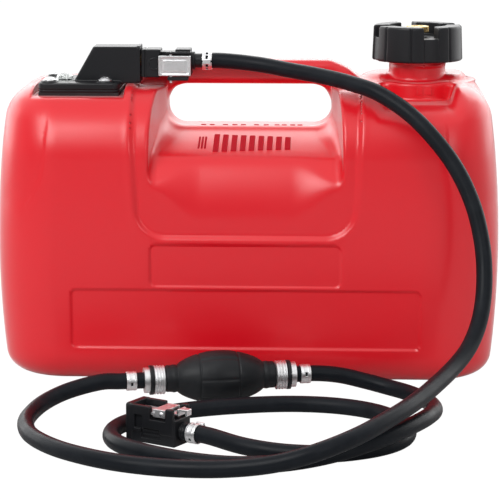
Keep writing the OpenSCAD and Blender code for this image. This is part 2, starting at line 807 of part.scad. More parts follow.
// route of the hose from the bulb to the engine connector
engine_route = concat(
    [on_bulb(bulb_run), on_bulb(bulb_run + 18)],
    [[77, -125, 18], [96, -126, 14], [114, -131, 10.5], [130, -143, 9], [141, -161, 9],
     [147, -186, 11], [148, -216, 14.5], [143, -245, 18], [134, -271, 20], [117, -297, 19],
     [96, -316, 16], [69, -332, 12], [40, -341, 9], [8, -342, 7], [-26, -334, 7],
     [-60, -314, 7], [-83, -291, 7], [-91, -266, 7], [-86, -240, 7], [-68, -216, 7],
     [-40, -196, 7], [-5, -182, 7], [35, -174, 7], [70, -177, 7], [98, -190, 7],
     [116, -210, 7], [126, -236, 7], [126, -262, 7], [116, -283, 7], [97, -300, 7],
     [70, -311, 7], [38, -309, 7], [8, -299, 8.5]],
    [on_socket(body_l + neck_in + 18), on_socket(body_l + neck_in)]);

function unit(v) = v / norm(v);
function way(route, i) = let (n = len(route) - 1)
    i == 0 ? unit(route[1] - route[0])
    : i == n ? unit(route[n] - route[n - 1])
    : unit(unit(route[i] - route[i - 1]) + unit(route[i + 1] - route[i]));
// side vector at each point, carried along so that the tube never twists
function sides_of(route) = [
    for (i = 0, s = unit(cross(way(route, 0), [0, 0, 1])); i < len(route);
         i = i + 1,
         s = i < len(route) ? unit(s - (s * way(route, i)) * way(route, i)) : s) s];
function tube_ring(route, side, i, r) = let (w = way(route, i), u = cross(w, side[i]))
    [for (k = [0:hose_sides - 1]) let (a = 360 * k / hose_sides)
        route[i] + r * cos(a) * side[i] + r * sin(a) * u];
module tube(route) {
    side = sides_of(route);
    n = len(route);
    m = hose_sides;
    skin = [for (r = [hose_od / 2, hose_id / 2], i = [0:n - 1])
                for (p = tube_ring(route, side, i, r)) p];
    polyhedron(
        points = skin,
        faces = concat(
            [for (i = [0:n - 2], k = [0:m - 1]) let (j = (k + 1) % m)
                [i * m + k, (i + 1) * m + j, i * m + j]],
            [for (i = [0:n - 2], k = [0:m - 1]) let (j = (k + 1) % m)
                [i * m + k, (i + 1) * m + k, (i + 1) * m + j]],
            [for (i = [n:2 * n - 2], k = [0:m - 1]) let (j = (k + 1) % m)
                [i * m + j, (i + 1) * m + k, i * m + k]],
            [for (i = [n:2 * n - 2], k = [0:m - 1]) let (j = (k + 1) % m)
                [i * m + j, (i + 1) * m + j, (i + 1) * m + k]],
            [for (e = [0, 1], k = [0:m - 1], t = [0, 1])
                let (j = (k + 1) % m, o = e * (n - 1) * m, q = o + n * m,
                     f = t == 0 ? [o + k, q + j, q + k] : [o + k, o + j, q + j])
                e == 0 ? f : [f[2], f[1], f[0]]]),
        convexity = 8);
}
module tank_hose() color(hose_black) tube(tank_route);
module engine_hose() color(hose_black) tube(engine_route);

// ---- primer bulb ---------------------------------------------------------------------
spigot_r = 6;
tail_r = 9.2;
flap_r = 4;
flap_t = 1.2;
flap_travel = 2;
chamber_r = 4.7;
stem_in = ring_t + flange_t;         // where the bulb's own neck begins
spigot_l = ferrule_l + tail - 2;
// turned piece of one valve: barbs for the hose, seat for the ring, flange and spigot, with
// the flap's chamber from seat on, and the wider way that starts at seat
module valve_body(seat) {
    difference() {
        rotate_extrude()
            polygon(concat([[2, -barb_l]],
                           [for (i = [len(barb_edge) - 1:-1:0]) [barb_edge[i][0], -barb_edge[i][1]]],
                           [[barb_r - 0.5, ring_t], [ferrule_r + 0.2, ring_t],
                            [ferrule_r + 0.2, stem_in - fit], [spigot_r, stem_in - fit],
                            [spigot_r, stem_in + spigot_l], [2, stem_in + spigot_l]]));
        translate([0, 0, seat]) cylinder(r = chamber_r, h = flap_t + flap_travel + 2 * play);
        translate([0, 0, seat]) cylinder(r = chamber_r - 1.2, h = 40);
    }
}
module bulb_ring() color(steel)
    difference() {
        cylinder(r = 10, h = ring_t - fit);
        translate([0, 0, -1]) cylinder(r = barb_r + fit, h = ring_t + 2);
    }
rib_h = ferrule_l / ferrule_ribs;
module ferrule() color(steel)
    rotate_extrude()
        polygon(concat([[tail_r + fit, ferrule_l - fit], [tail_r + fit, fit]],
                       [for (k = [0:ferrule_ribs - 1],
                             q = [[ferrule_r - 0.9, 0.02], [ferrule_r, 0.3], [ferrule_r, 0.7],
                                  [ferrule_r - 0.9, 0.98]])
                           [q[0], fit + (ferrule_l - 2 * fit) * (k + q[1]) / ferrule_ribs]]));

// the bulb swells from one neck to the other like half a wave
function swell(t) = tail_r + (bulb_r - tail_r) * pow(sin(180 * t), 0.62);
bulb_steps = 14;
bulb_in = 2 * stem_in;
bulb_total = bulb_run - 2 * stem_in;
module primer_bulb() color(hose_black)
    along_bulb(stem_in)
        rotate_extrude($fn = 48)
            polygon(concat(
                [[spigot_r + fit, 0], [tail_r, 0]],
                [for (i = [0:bulb_steps])
                    [swell(i / bulb_steps), ferrule_l + tail + bulb_l * i / bulb_steps]],
                [[tail_r, bulb_total], [spigot_r + fit, bulb_total],
                 [spigot_r + fit, bulb_total - ferrule_l - tail + 2]],
                [for (i = [bulb_steps - 1:-1:1])
                    [max(spigot_r + fit, swell(i / bulb_steps) - bulb_wall),
                     ferrule_l + tail + bulb_l * i / bulb_steps]],
                [[spigot_r + fit, ferrule_l + tail - 2]]));

flap_seat = stem_in + spigot_l - 6;
module inlet_valve() color(plastic_black) along_bulb() valve_body(flap_seat);
module outlet_valve() color(plastic_black)
    along_bulb(bulb_run) mirror([0, 0, 1]) valve_body(ring_t + 2);
module inlet_ring() along_bulb(0) bulb_ring();
module outlet_ring() along_bulb(bulb_run) mirror([0, 0, 1]) bulb_ring();
module inlet_ferrule() along_bulb(stem_in) ferrule();
module outlet_ferrule() along_bulb(bulb_run - stem_in) mirror([0, 0, 1]) ferrule();
module flap() color("dimgray") cylinder(r = flap_r, h = flap_t);
module inlet_flap() along_bulb(flap_seat + play) flap();
module outlet_flap()
    along_bulb(bulb_run - ring_t - 2 - play - flap_t - flap_travel) flap();
module inlet_clamp() along_bulb(-14) rotate([0, 0, 100]) clamp();
module outlet_clamp() along_bulb(bulb_run + 4) rotate([0, 0, 80]) clamp();

// ---- engine connector -------------------------------------------------------------------
flange_w = 24;
body_h = 21;
bridge_x = 18;
bridge_w = 8;
latch2_l = 38;
latch2_z = body_h + 0.6;
pivot_x = bridge_x + bridge_w / 2;
pivot_z = body_h + 2.6;
bridge_top = pivot_z + 3;
socket_r = nipple_r + 0.2;
seal_t = 2.4;
ball_r = 2.8;
ball_travel = 2;
ball_x = socket_l + seal_t + 2;
barb_in = 11;        // length of the barb's shank in the engine connector
module in_socket() {
    translate(socket_at) rotate([0, 0, socket_turn]) children();
}
module engine_connector() color(plastic_black)
    difference() {
        union() {
            in_socket() {
                // flange with clipped corners
                hull()
                    for (y = [-1, 1], z = [2, flange_w - 2])
                        translate([0, y * (flange_w / 2 - 2), z])
                            rotate([0, 90, 0]) cylinder(r = 2, h = 4, $fn = facet);
                hull()
                    for (y = [-1, 1], z = [3, body_h - 2])
                        translate([3, y * (conn_w / 2 - 2), z])
                            rotate([0, 90, 0]) cylinder(r = 2, h = body_l - 3, $fn = facet);
                // the bridge's two cheeks hold the latch's pin
                for (s = [-1, 1])
                    translate([bridge_x, s * (conn_w / 2 - 2) - 2, body_h - 1])
                        cube([bridge_w, 4, bridge_top - body_h + 1]);
            }
            along_socket(body_l - eps) cylinder(r = neck_rad, h = neck_in - collar);
        }
        along_socket(-1) cylinder(r = socket_r, h = socket_l + 1);
        along_socket(socket_l - eps) cylinder(r = socket_r + 0.8, h = seal_t + fit);
        along_socket(ball_x) cylinder(r = ball_r + play, h = 2 * ball_r + 2 * play + ball_travel);
        along_socket(0) cylinder(r = 2, h = 80);
        along_socket(body_l + neck_in - barb_in) cylinder(r = shank_r + fit, h = 80);
        in_socket()
            translate([pivot_x, -40, pivot_z])
                rotate([-90, 0, 0]) cylinder(r = pin_r + run, h = 80);
    }
module socket_seal() color("dimgray")
    along_socket(socket_l)
        difference() {
            cylinder(r = socket_r + 0.8 - fit, h = seal_t);
            translate([0, 0, -1]) cylinder(r = nipple_r - 2, h = seal_t + 2);
        }
module check_ball() color(steel)
    along_socket(ball_x + play + ball_r) sphere(r = ball_r);

module engine_latch() color(steel)
    in_socket()
        difference() {
            union() {
                translate([pivot_x - 17, -5, pivot_z - latch_t / 2]) cube([latch2_l, 10, latch_t]);
                translate([pivot_x + latch2_l - 17 - eps, -5, pivot_z - latch_t / 2 - 4])
                    cube([latch_t, 10, 4 + latch_t]);
                translate([pivot_x, -6, pivot_z]) rotate([-90, 0, 0]) cylinder(r = pin_r + 1.1, h = 12);
            }
            translate([pivot_x, -40, pivot_z])
                rotate([-90, 0, 0]) cylinder(r = pin_r + run, h = 80);
            translate([pivot_x - 11, 0, pivot_z - 5]) cylinder(r = 1.8, h = 10);
        }
module engine_latch_pin() color(steel)
    in_socket()
        translate([pivot_x, -conn_w / 2 - 0.4, pivot_z])
            rotate([-90, 0, 0]) cylinder(r = pin_r, h = conn_w + 0.8);

module engine_barb() color(brass) along_socket(body_l + neck_in) barb(barb_in);
module engine_clamp() along_socket(body_l + neck_in + 2) rotate([0, 0, 120]) clamp();

// ---- the whole tank --------------------------------------------------------------------
tank_shell();
filler_cap();
cap_gasket();
vent_screw();
vent_washer();
base_gasket();
pickup_housing();
base_screws();
gauge_lens();
gauge_pointer();
gauge_stem();
gauge_pin();
float_arm();
float();
pickup_tube();
strainer();
outlet_nipple();
nipple_seal();
tank_connector();
tank_latch();
tank_latch_pin();
tank_barb();
tank_clamp();
tank_hose();
inlet_clamp();
inlet_ring();
inlet_valve();
inlet_flap();
inlet_ferrule();
primer_bulb();
outlet_ferrule();
outlet_flap();
outlet_valve();
outlet_ring();
outlet_clamp();
engine_hose();
engine_clamp();
engine_barb();
engine_connector();
socket_seal();
check_ball();
engine_latch();
engine_latch_pin();
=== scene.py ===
# %% [markdown]
# # Portable fuel tank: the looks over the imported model
# The real object is a red fuel tank for a small boat, with a hose, a squeeze bulb and a connector
# for the engine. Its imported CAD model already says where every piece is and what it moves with.
# This script adds the looks on top: it loads that model, lays the two hoses, grows moulded skins
# from formulas, gives every piece a procedural material and sets a plain studio round it. The
# formulas below are in millimetres in the model's own frame: +X points to the filler, -Y to the
# front, +Z up. `MM` turns them into metres when an object is made. The camera, the floor and the
# lamps are placed in metres straight away.

import json
import math

import bpy
import numpy as np
from mathutils import Matrix


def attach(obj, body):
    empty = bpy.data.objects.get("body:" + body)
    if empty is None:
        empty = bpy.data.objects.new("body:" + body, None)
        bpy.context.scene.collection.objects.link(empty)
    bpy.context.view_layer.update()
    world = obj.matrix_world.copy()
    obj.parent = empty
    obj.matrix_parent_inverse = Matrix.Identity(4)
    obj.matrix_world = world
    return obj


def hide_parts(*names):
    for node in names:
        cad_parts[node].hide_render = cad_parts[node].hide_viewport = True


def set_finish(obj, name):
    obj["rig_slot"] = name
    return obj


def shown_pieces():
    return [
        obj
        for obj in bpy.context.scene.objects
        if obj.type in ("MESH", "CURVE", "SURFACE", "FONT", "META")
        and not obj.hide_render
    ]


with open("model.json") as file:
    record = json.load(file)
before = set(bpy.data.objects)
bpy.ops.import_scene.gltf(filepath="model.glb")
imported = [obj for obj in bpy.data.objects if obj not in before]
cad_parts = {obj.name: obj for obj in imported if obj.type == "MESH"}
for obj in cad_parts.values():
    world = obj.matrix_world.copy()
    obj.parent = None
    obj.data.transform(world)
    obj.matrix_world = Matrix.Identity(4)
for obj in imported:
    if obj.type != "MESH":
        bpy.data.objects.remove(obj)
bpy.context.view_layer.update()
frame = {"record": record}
MM = 0.001


# %% [markdown]
# ## Camera
# A product is mostly photographed from far away with a long lens, so that its upright lines
# hardly lean. A short lens from close by would fill the picture too, but the near hose would look
# far too large. This camera looks down by about 11 degrees and stands slightly to the right of
# the tank's middle, so that a little of the deck, the saddle and the loops on the floor show.

# %% Camera
camera = bpy.data.objects.new("camera", bpy.data.cameras.new("camera"))
camera.data.lens = 155.9
camera.data.sensor_width = 36
camera.data.clip_start = 0.1
camera.data.clip_end = 20
camera.location = (0.0754, -1.7984, 0.437)
camera.rotation_euler = (math.radians(79.24), 0, math.radians(2.4))
bpy.context.scene.collection.objects.link(camera)
bpy.context.scene.camera = camera
print("camera is", round(camera.location.length, 2), "m away and looks down by",
      round(90 - math.degrees(camera.rotation_euler.x), 1), "degrees")

# %% [markdown]
# ## From arrays to a piece
# Every skin in this file ends as an array of points and an array of faces. One helper turns both
# into a mesh object, lets it ride on a body of the model, hides the solids that it stands for and
# notes which finish it takes. Shading normals are handed over too where a formula gives them
# exactly: that looks smoother than the normals that a mesh works out from its own faces.


# %% Making a piece
def piece(name, points, faces, slot, body="tank", nodes=(), normals=None):
    mesh = bpy.data.meshes.new(name)
    mesh.from_pydata((np.asarray(points) * MM).tolist(), [], np.asarray(faces).tolist())
    mesh.polygons.foreach_set("use_smooth", [True] * len(mesh.polygons))
    if normals is not None:
        mesh.normals_split_custom_set_from_vertices(np.asarray(normals).tolist())
    thing = bpy.data.objects.new(name, mesh)
    bpy.context.scene.collection.objects.link(thing)
    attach(thing, body)
    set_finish(thing, slot)
    if nodes:
        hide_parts(*nodes)
    print(name, len(mesh.vertices), "points")
    return thing


# %% [markdown]
# ## Where the bulb and the engine connector lie
# Both lie turned on the floor, so everything on them is easier to place along their own axis. Two
# small helpers give a point at a distance along each axis. The hoses end on these axes and the
# clamps sit on them.

# %% Axes of the bulb and the engine connector
BULB_AT, BULB_TURN, BULB_RUN = np.array([-76.5, -157.1, 20.3]), math.radians(12), 120.3
SOCKET_AT, SOCKET_TURN, SOCKET_AXIS_Z = np.array([-74.0, -248.0, 0.0]), math.radians(-30), 10.5


def on_bulb(x):
    return tuple(BULB_AT + x * np.array([math.cos(BULB_TURN), math.sin(BULB_TURN), 0]))


def on_socket(x):
    step = x * np.array([math.cos(SOCKET_TURN), math.sin(SOCKET_TURN), 0])
    return tuple(SOCKET_AT + step + np.array([0, 0, SOCKET_AXIS_Z]))


print("the bulb's outlet is at", np.round(on_bulb(BULB_RUN), 1).tolist())

# %% [markdown]
# ## Routes of the hoses
# Real fuel hose is thick and springy: it falls in wide bends and lies in loops that never kink. A
# physics run could drop it, but would not end in a chosen lie, so the routes are listed points.
# They repeat the model's, so that the looks lie where the solids lie. The first hose leaves the
# tank's connector, falls over the front and lies in a wide loop up to the bulb. The second
# leaves the bulb, makes a smaller loop and ends in the engine connector.

# %% Routes
tank_route = [
    (-38.2, -27, 258), (-20.2, -27, 258), (8, -31, 255.5), (34, -42, 252), (59, -56, 249),
    (83, -72, 245), (107, -88, 238), (135, -104, 220), (162, -117, 190), (178, -128, 160),
    (186, -138, 130), (188, -148, 104), (186, -160, 82), (181, -173, 66), (173, -189, 54),
    (162, -210, 46), (149, -238, 41), (132, -276, 37), (113, -311, 34), (90, -341, 29),
    (62, -359, 22), (33, -361, 14), (0, -356, 8.5), (-35, -352, 7), (-70, -343, 7),
    (-100, -327, 7), (-128, -303, 7), (-149, -272, 7), (-158, -239, 7), (-157, -211, 8),
    (-149, -188, 11), (-133, -172, 15.5), on_bulb(-34), on_bulb(-18), on_bulb(0)]
engine_route = [
    on_bulb(BULB_RUN), on_bulb(BULB_RUN + 18), (77, -125, 18), (96, -126, 14),
    (114, -131, 10.5), (130, -143, 9), (141, -161, 9), (147, -186, 11), (148, -216, 14.5),
    (143, -245, 18), (134, -271, 20), (117, -297, 19), (96, -316, 16), (69, -332, 12),
    (40, -341, 9), (8, -342, 7), (-26, -334, 7), (-60, -314, 7), (-83, -291, 7),
    (-91, -266, 7), (-86, -240, 7), (-68, -216, 7), (-40, -196, 7), (-5, -182, 7),
    (35, -174, 7), (70, -177, 7), (98, -190, 7), (116, -210, 7), (126, -236, 7),
    (126, -262, 7), (116, -283, 7), (97, -300, 7), (70, -311, 7), (38, -309, 7),
    (8, -299, 8.5), on_socket(64), on_socket(46)]
print(len(tank_route), "and", len(engine_route), "route points")

# %% [markdown]
# ## A smooth line through a route
# A hose has no corners, so the line between two route points has to leave each of them in the
# direction in which it arrived. A cubic piece does that: its two end slopes come from the
# neighbours on both sides. The length of the line is measured as it is made, and each hose
# prints its length.


# %% A smooth line
def through(route, steps=6):
    """Points of a smooth curve through the route, and its length."""
    p = np.array([2 * np.array(route[0]) - route[1], *route,
                  2 * np.array(route[-1]) - route[-2]], float)
    t = np.linspace(0, 1, steps, endpoint=False)[:, None]
    out = []
    for a, b, c, d in zip(p, p[1:], p[2:], p[3:]):
        m0, m1 = (c - a) / 2, (d - b) / 2
        out.append((2 * t**3 - 3 * t**2 + 1) * b + (t**3 - 2 * t**2 + t) * m0
                   + (3 * t**2 - 2 * t**3) * c + (t**3 - t**2) * m1)
    points = np.vstack(out + [p[-2]])
    return points, float(np.linalg.norm(np.diff(points, axis=0), axis=1).sum())


straight_route = [(0, 0, 0), (10, 0, 0), (30, 0, 0)]
print("a straight route of 30 mm measures", round(through(straight_route)[1], 2), "mm")

# %% [markdown]
# ## Laying the hoses
# A hose could be a mesh swept by hand, but a curve with a round bevel is simpler and stays one
# clean line that can be measured. The bevel depth is 1 and each point carries the real radius: a
# curve's bounding box grows by its points' radius, so this keeps the measured bounds true.

# %% Hoses
HOSE_RADIUS = 0.0064                          # metres


def hose(name, route):
    points, length = through(route)
    curve = bpy.data.curves.new(name, "CURVE")
    curve.dimensions = "3D"
    curve.bevel_depth = 1        # times each point's radius
    curve.bevel_resolution = 8
    curve.use_fill_caps = True
    line = curve.splines.new("POLY")
    line.points.add(len(points) - 1)
    for spot, p in zip(line.points, points):
        spot.co = (*(p * MM), 1)
        spot.radius = HOSE_RADIUS
    line.use_smooth = True
    thing = bpy.data.objects.new(name, curve)
    bpy.context.scene.collection.objects.link(thing)
    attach(thing, "tank")
    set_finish(thing, "hose_rubber")
    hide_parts(name.replace("_line", ""))
    print(name, round(length), "mm")
    return thing, points[0], length


tank_line = hose("tank_hose_line", tank_route)
engine_line = hose("engine_hose_line", engine_route)

# %% [markdown]
# ## Moulded shapes as distances
# A mould leaves hardly any sharp inner corner in plastic: where two faces meet there is a fillet.
# Bevels on a mesh can give that, but they break where many steps meet, as round this handle. Here
# a shape is a formula instead. It gives the distance of any point to the surface, below zero
# inside and above zero outside. A soft minimum joins two shapes and leaves a fillet, and a soft
# maximum cuts one by another. `step_up` is a ramp with soft ends for steps in the skin.


# %% Joining and cutting softly
def soft_min(a, b, k):
    h = np.clip(0.5 + 0.5 * (b - a) / k, 0, 1)
    return b + (a - b) * h - k * h * (1 - h)


def soft_max(a, b, k):
    return -soft_min(-a, -b, k)


def step_up(v, low, high):
    t = np.clip((v - low) / (high - low), 0, 1)
    return t * t * (3 - 2 * t)


print("two faces that meet with a softness of 4 mm are filled by", -soft_min(0.0, 0.0, 4.0), "mm")

# %% [markdown]
# ## Boxes, outlines and rods
# Most moulded pieces are built up from a few rounded forms. The round box and the round outline
# measure to a smaller box and take its edge radius off again, which rounds every edge at once.


# %% Rounded forms
def round_box(p, centre, half, r):
    q = np.abs(p - np.array(centre, float)) - np.array(half, float) + r
    return np.linalg.norm(np.maximum(q, 0), axis=-1) + np.minimum(q.max(axis=-1), 0) - r


def round_rect(u, v, half_u, half_v, r):
    a, b = np.abs(u) - half_u + r, np.abs(v) - half_v + r
    return np.hypot(np.maximum(a, 0), np.maximum(b, 0)) + np.minimum(np.maximum(a, b), 0) - r


def rod(p, centre, axis, radius, half, r=0.3):
    """Cylinder along an axis (0, 1 or 2) with rounded rims."""
    q = p - np.array(centre, float)
    side = [k for k in range(3) if k != axis]
    a = np.hypot(q[:, side[0]], q[:, side[1]]) - radius + r
    b = np.abs(q[:, axis]) - half + r
    return np.hypot(np.maximum(a, 0), np.maximum(b, 0)) + np.minimum(np.maximum(a, b), 0) - r


beside = rod(np.array([[8.0, 0, 0]]), (0, 0, 0), axis=2, radius=5, half=20)
print("a point 3 mm beside a rod is at", round(float(beside[0]), 3), "mm")

# %% [markdown]
# ## From a distance to a mesh
# A formula is seen only once it has faces. The usual cube-by-cube walk leaves thin triangles, so
# this one keeps a single point in each grid cell that the surface crosses, at the middle of its
# crossings, and joins the four cells round every crossed grid line with one quad. The result is
# an even net of quads. Only blocks near the surface are worked out in full, which saves most of
# the time: the rest of the grid is filled from one value per block.

# %% Values on a grid
HALF_DIAGONAL = 0.87                          # of a cube, as a share of its side


def grid_values(shape, low, high, step, slack=1.7, block=8):
    count = np.ceil((np.asarray(high, float) - low) / (block * step)).astype(int)
    centre = [low[k] + (np.arange(count[k]) + 0.5) * block * step for k in range(3)]
    far = shape(np.stack(np.meshgrid(*centre, indexing="ij"), -1).reshape(-1, 3)).reshape(count)
    value = np.where(far > 0, step, -step)
    value = np.pad(value.repeat(block, 0).repeat(block, 1).repeat(block, 2),
                   ((0, 1),) * 3, mode="edge")
    near = np.argwhere(np.abs(far) < slack * HALF_DIAGONAL * block * step)
    k = np.arange(block + 1)
    local = np.stack(np.meshgrid(k, k, k, indexing="ij"), -1).reshape(-1, 3)
    for part in np.array_split(near, max(1, len(near) // 300)):
        at = (part[:, None, :] * block + local[None]).reshape(-1, 3)
        value[tuple(at.T)] = shape(low + at * step)
    return value


def trial_rod(p):
    return rod(p, (0, 0, 0), axis=2, radius=5, half=8)


trial_values = grid_values(trial_rod, np.array([-8.0, -8.0, -11.0]), (8, 8, 11), 1.0)
print("a short rod on a 1 mm grid has", int((trial_values < 0).sum()), "grid points inside")


# %% Quads round the crossings
def nets(shape, low, high, step):
    low = np.asarray(low, float)
    value = grid_values(shape, low, high, step)
    inside = value < 0
    cells_along = np.array(value.shape) - 1
    cells, points, quads = [], [], []
    for axis in range(3):
        u, w = (axis + 1) % 3, (axis + 2) % 3
        a, b = [slice(None)] * 3, [slice(None)] * 3
        a[axis], b[axis] = slice(0, -1), slice(1, None)
        hit = np.argwhere(inside[tuple(a)] != inside[tuple(b)])
        hit = hit[(hit[:, u] > 0) & (hit[:, w] > 0)
                  & (hit[:, u] < cells_along[u]) & (hit[:, w] < cells_along[w])]
        after = hit.copy()
        after[:, axis] += 1
        v0, v1 = value[tuple(hit.T)], value[tuple(after.T)]
        at = hit.astype(float)
        at[:, axis] += v0 / (v0 - v1)
        four = []
        for du, dw in ((-1, -1), (0, -1), (0, 0), (-1, 0)):
            c = hit.copy()
            c[:, u] += du
            c[:, w] += dw
            four.append((c[:, 0] * cells_along[1] + c[:, 1]) * cells_along[2] + c[:, 2])
            cells.append(four[-1])
            points.append(at)
        quad = np.stack(four, 1)
        quad[v0 >= 0] = quad[v0 >= 0][:, ::-1]
        quads.append(quad)
    cells, points = np.concatenate(cells), np.vstack(points)
    ids, which = np.unique(cells, return_inverse=True)
    n = np.bincount(which)
    verts = np.stack([np.bincount(which, weights=points[:, k]) / n for k in range(3)], 1)
    return verts * step + low, np.searchsorted(ids, np.vstack(quads))


trial_points, trial_quads = nets(trial_rod, (-8, -8, -11), (8, 8, 11), 1.0)
print("its net has", len(trial_points), "points and", len(trial_quads), "quads, at most",
      round(float(np.abs(trial_rod(trial_points)).max()), 2), "mm off the rod")

# %% [markdown]
# ## Pulling the net on to the surface
# The middle of the crossings lies a little off a curved surface. A few steps along the formula's
# slope bring each point on to it, by no more than a part of the grid's step, so that no quad
# folds over. The slope at the end is the exact shading normal. `place` can turn and move a
# finished skin, for pieces that are described along their own axis.


# %% Growing a skin
def slope(shape, p, h):
    move = np.eye(3) * h
    return np.stack([(shape(p + m) - shape(p - m)) / (2 * h) for m in move], 1)


def skin(name, shape, low, high, step, slot, body="tank", nodes=(), place=None, rounds=3):
    points, faces = nets(shape, low, high, step)
    start = points.copy()
    for _ in range(rounds):
        g = slope(shape, points, 0.2 * step)
        points -= (shape(points) / np.maximum((g * g).sum(1), 0.05))[:, None] * g
        points = start + np.clip(points - start, -0.7 * step, 0.7 * step)
    normal = slope(shape, points, 0.3 * step)
    normal /= np.maximum(np.linalg.norm(normal, axis=1), 1e-6)[:, None]
    if place is not None:
        turn = np.array(place.to_3x3())
        points = points @ turn.T + np.array(place.translation)
        normal = normal @ turn.T
    return piece(name, points, faces, slot, body, nodes, normal)


side_slope = slope(trial_rod, np.array([[5.0, 0, 0]]), 0.1)[0]
print("the rod's slope at its +X side is", np.round(side_slope, 3).tolist())

# %% [markdown]
# ## The tank's outline
# The real tank is blown into a mould, so its walls bulge a little like a barrel and it draws in
# softly to the shoulders and the foot. One rounded rectangle per height describes that. `table`
# makes a soft curve of a few given pairs, for everything that changes along the tank without a
# plain formula.

# %% Sizes and soft tables
HALF_L, HALF_D, TOP = 206.0, 92.0, 240.0
NECK_X, PICK_X, PICK_Y = 138.8, -137.3, -20.5


def table(xs, ys, blur):
    """A soft curve through a short table."""
    x = np.linspace(xs[0] - 20, xs[-1] + 20, 800)
    y = np.interp(x, xs, ys)
    k = np.exp(-0.5 * (np.arange(-80, 81) * (x[1] - x[0]) / blur) ** 2)
    y = np.convolve(np.pad(y, 80, mode="edge"), k / k.sum(), mode="valid")
    return lambda v: np.interp(v, x, y)


saddle_drop = table([0, 15, 22, 45, 62, 71, 76, 84, 96, 110],
                    [0, 0, 3.4, 10, 15, 18, 22.5, 33, 49, 69], 2)
saddle_flare = table([0, 15, 22, 45, 68, 84, 96, 110], [0, 0, 1, 5, 8, 10, 11, 12], 5)
collar_half = table([122, 150, 200, 260], [86.5, 88.5, 91.5, 92], 5)
crease_x = table([146, 158, 168, 184, 200, 221, 235], [179, 170, 165.5, 162.5, 161, 159, 158], 4)
handle_drop = table([0, 67, 72, 81, 90, 95], [0, 0, 2, 6, 13, 20], 2)
handle_sink = table([0, 54, 62, 67, 72, 81, 90, 95], [0, 0, 2.5, 9, 14, 18, 22, 24], 2)
print("the saddle has dropped by", round(float(saddle_drop(60)), 1), "mm at 60 mm from the middle")


# %% Outline at a height
def drawn_in(z, across, down, low, sag):
    t = np.clip((z - TOP + down) / down, 0, 0.9995)
    u = np.clip((low - z) / low, 0, 0.9995)
    return (sag * ((z - 0.44 * TOP) / (TOP / 2)) ** 2
            + across * (1 - np.sqrt(1 - t * t)) + low * (1 - np.sqrt(1 - u * u)))


def plan(x, y, z):
    a = HALF_L - drawn_in(z, 25, 25, 18, 8.5)
    b = HALF_D - drawn_in(z, 46, 56, 26, 4)
    return round_rect(x, y, a, b, 0.56 * b)


def barrel(x, y, z):
    """The tank's body, with the distance put right where the wall leans."""
    d = plan(x, y, z)
    rise = plan(x, y, z + 0.5) - plan(x, y, z - 0.5)
    d = d / np.sqrt(1 + rise * rise)
    return soft_max(soft_max(d, z - TOP, 2), -z, 1.5)


print("at mid height the tank is", round(-2 * float(plan(0.0, 0.0, TOP / 2)), 1), "mm deep")

# %% [markdown]
# ## What is sunk into the walls
# A broad collar is sunk round the handle, two bare fields lie below it and a soft crease runs
# down near each end: they stiffen a thin blown wall. Each could be cut with a second shape, but
# such steps are at most about three millimetres deep, so adding their depth to the distance is
# enough and keeps their edges even. Each helper gives the depth at a point.


# %% Collar, fields and creases
FIELDS = ((54.5, 141.5, 24.5, 1.3), (98.8, 77, 17.2, 1.3))     # height, half sizes, depth


def collar_depth(x, y, z):
    half = collar_half(z)
    qx, qz = np.abs(x) - half + 22, 144 - z
    e = np.hypot(np.maximum(qx, 0), np.maximum(qz, 0)) + np.minimum(np.maximum(qx, qz), 0) - 22
    deep = 2.5 + 0.7 * step_up(z, 190, 228)
    return step_up(np.abs(y), 12, 20) * (deep * step_up(-e, -2.8, 2.6)
                                         - 0.2 * np.exp(-((e - 4) / 2.4) ** 2))


def field_depth(x, y, z, middle, half_x, half_z, deep):
    f = round_rect(x, z - middle, half_x, half_z, 5)
    return deep * step_up(np.abs(y), 55, 62) * step_up(-f, -0.8, 1.2)


def crease_depth(x, y, z):
    c = np.abs(x) - crease_x(z)
    dent = step_up(c, -1.8, 1.4) * step_up(-c, -34, -3) * step_up(z, 138, 152) \
        * step_up(-z, -228, -205)
    return 0.75 * step_up(np.abs(y), 30, 48) * dent


print("the collar is", round(float(collar_depth(0.0, -80.0, 200.0)), 2), "mm deep,",
      "the lower field", round(float(field_depth(0.0, -88.0, 54.5, *FIELDS[0])), 2), "mm")

# %% [markdown]
# ## The saddle, the pocket and the seat
# Under the handle the mould closes from front to back and leaves a saddle whose floor drops
# towards both faces. Its sides meet the floor in a round corner that grows tighter outwards, and
# it fades softly into the face. In front of the neck lies a pocket that drains to the front,
# behind it a low deck, and the pickup unit sits in a shallow seat.

# %% Saddle
SADDLE_HALF, SADDLE_FLOOR = 68, 203


def saddle(x, y, z):
    """Depth inside the saddle's opening, and how softly it is cut there."""
    ay = np.abs(y)
    a, b = SADDLE_HALF + saddle_flare(ay) - np.abs(x), z - SADDLE_FLOOR + saddle_drop(ay)
    dip = (saddle_drop(ay + 1) - saddle_drop(ay - 1)) / 2
    b = b / np.sqrt(1 + dip * dip)
    r = 15 - 9 * step_up(ay, 35, 75)
    s = np.minimum(np.minimum(a, b), r - np.hypot(np.maximum(r - a, 0), np.maximum(r - b, 0)))
    return s, 2.5 + 15 * step_up(a, 3, 42)


print("the saddle is", 2 * SADDLE_HALF, "mm wide in the middle and",
      round(2 * float(SADDLE_HALF + saddle_flare(84)), 1), "mm near the front")


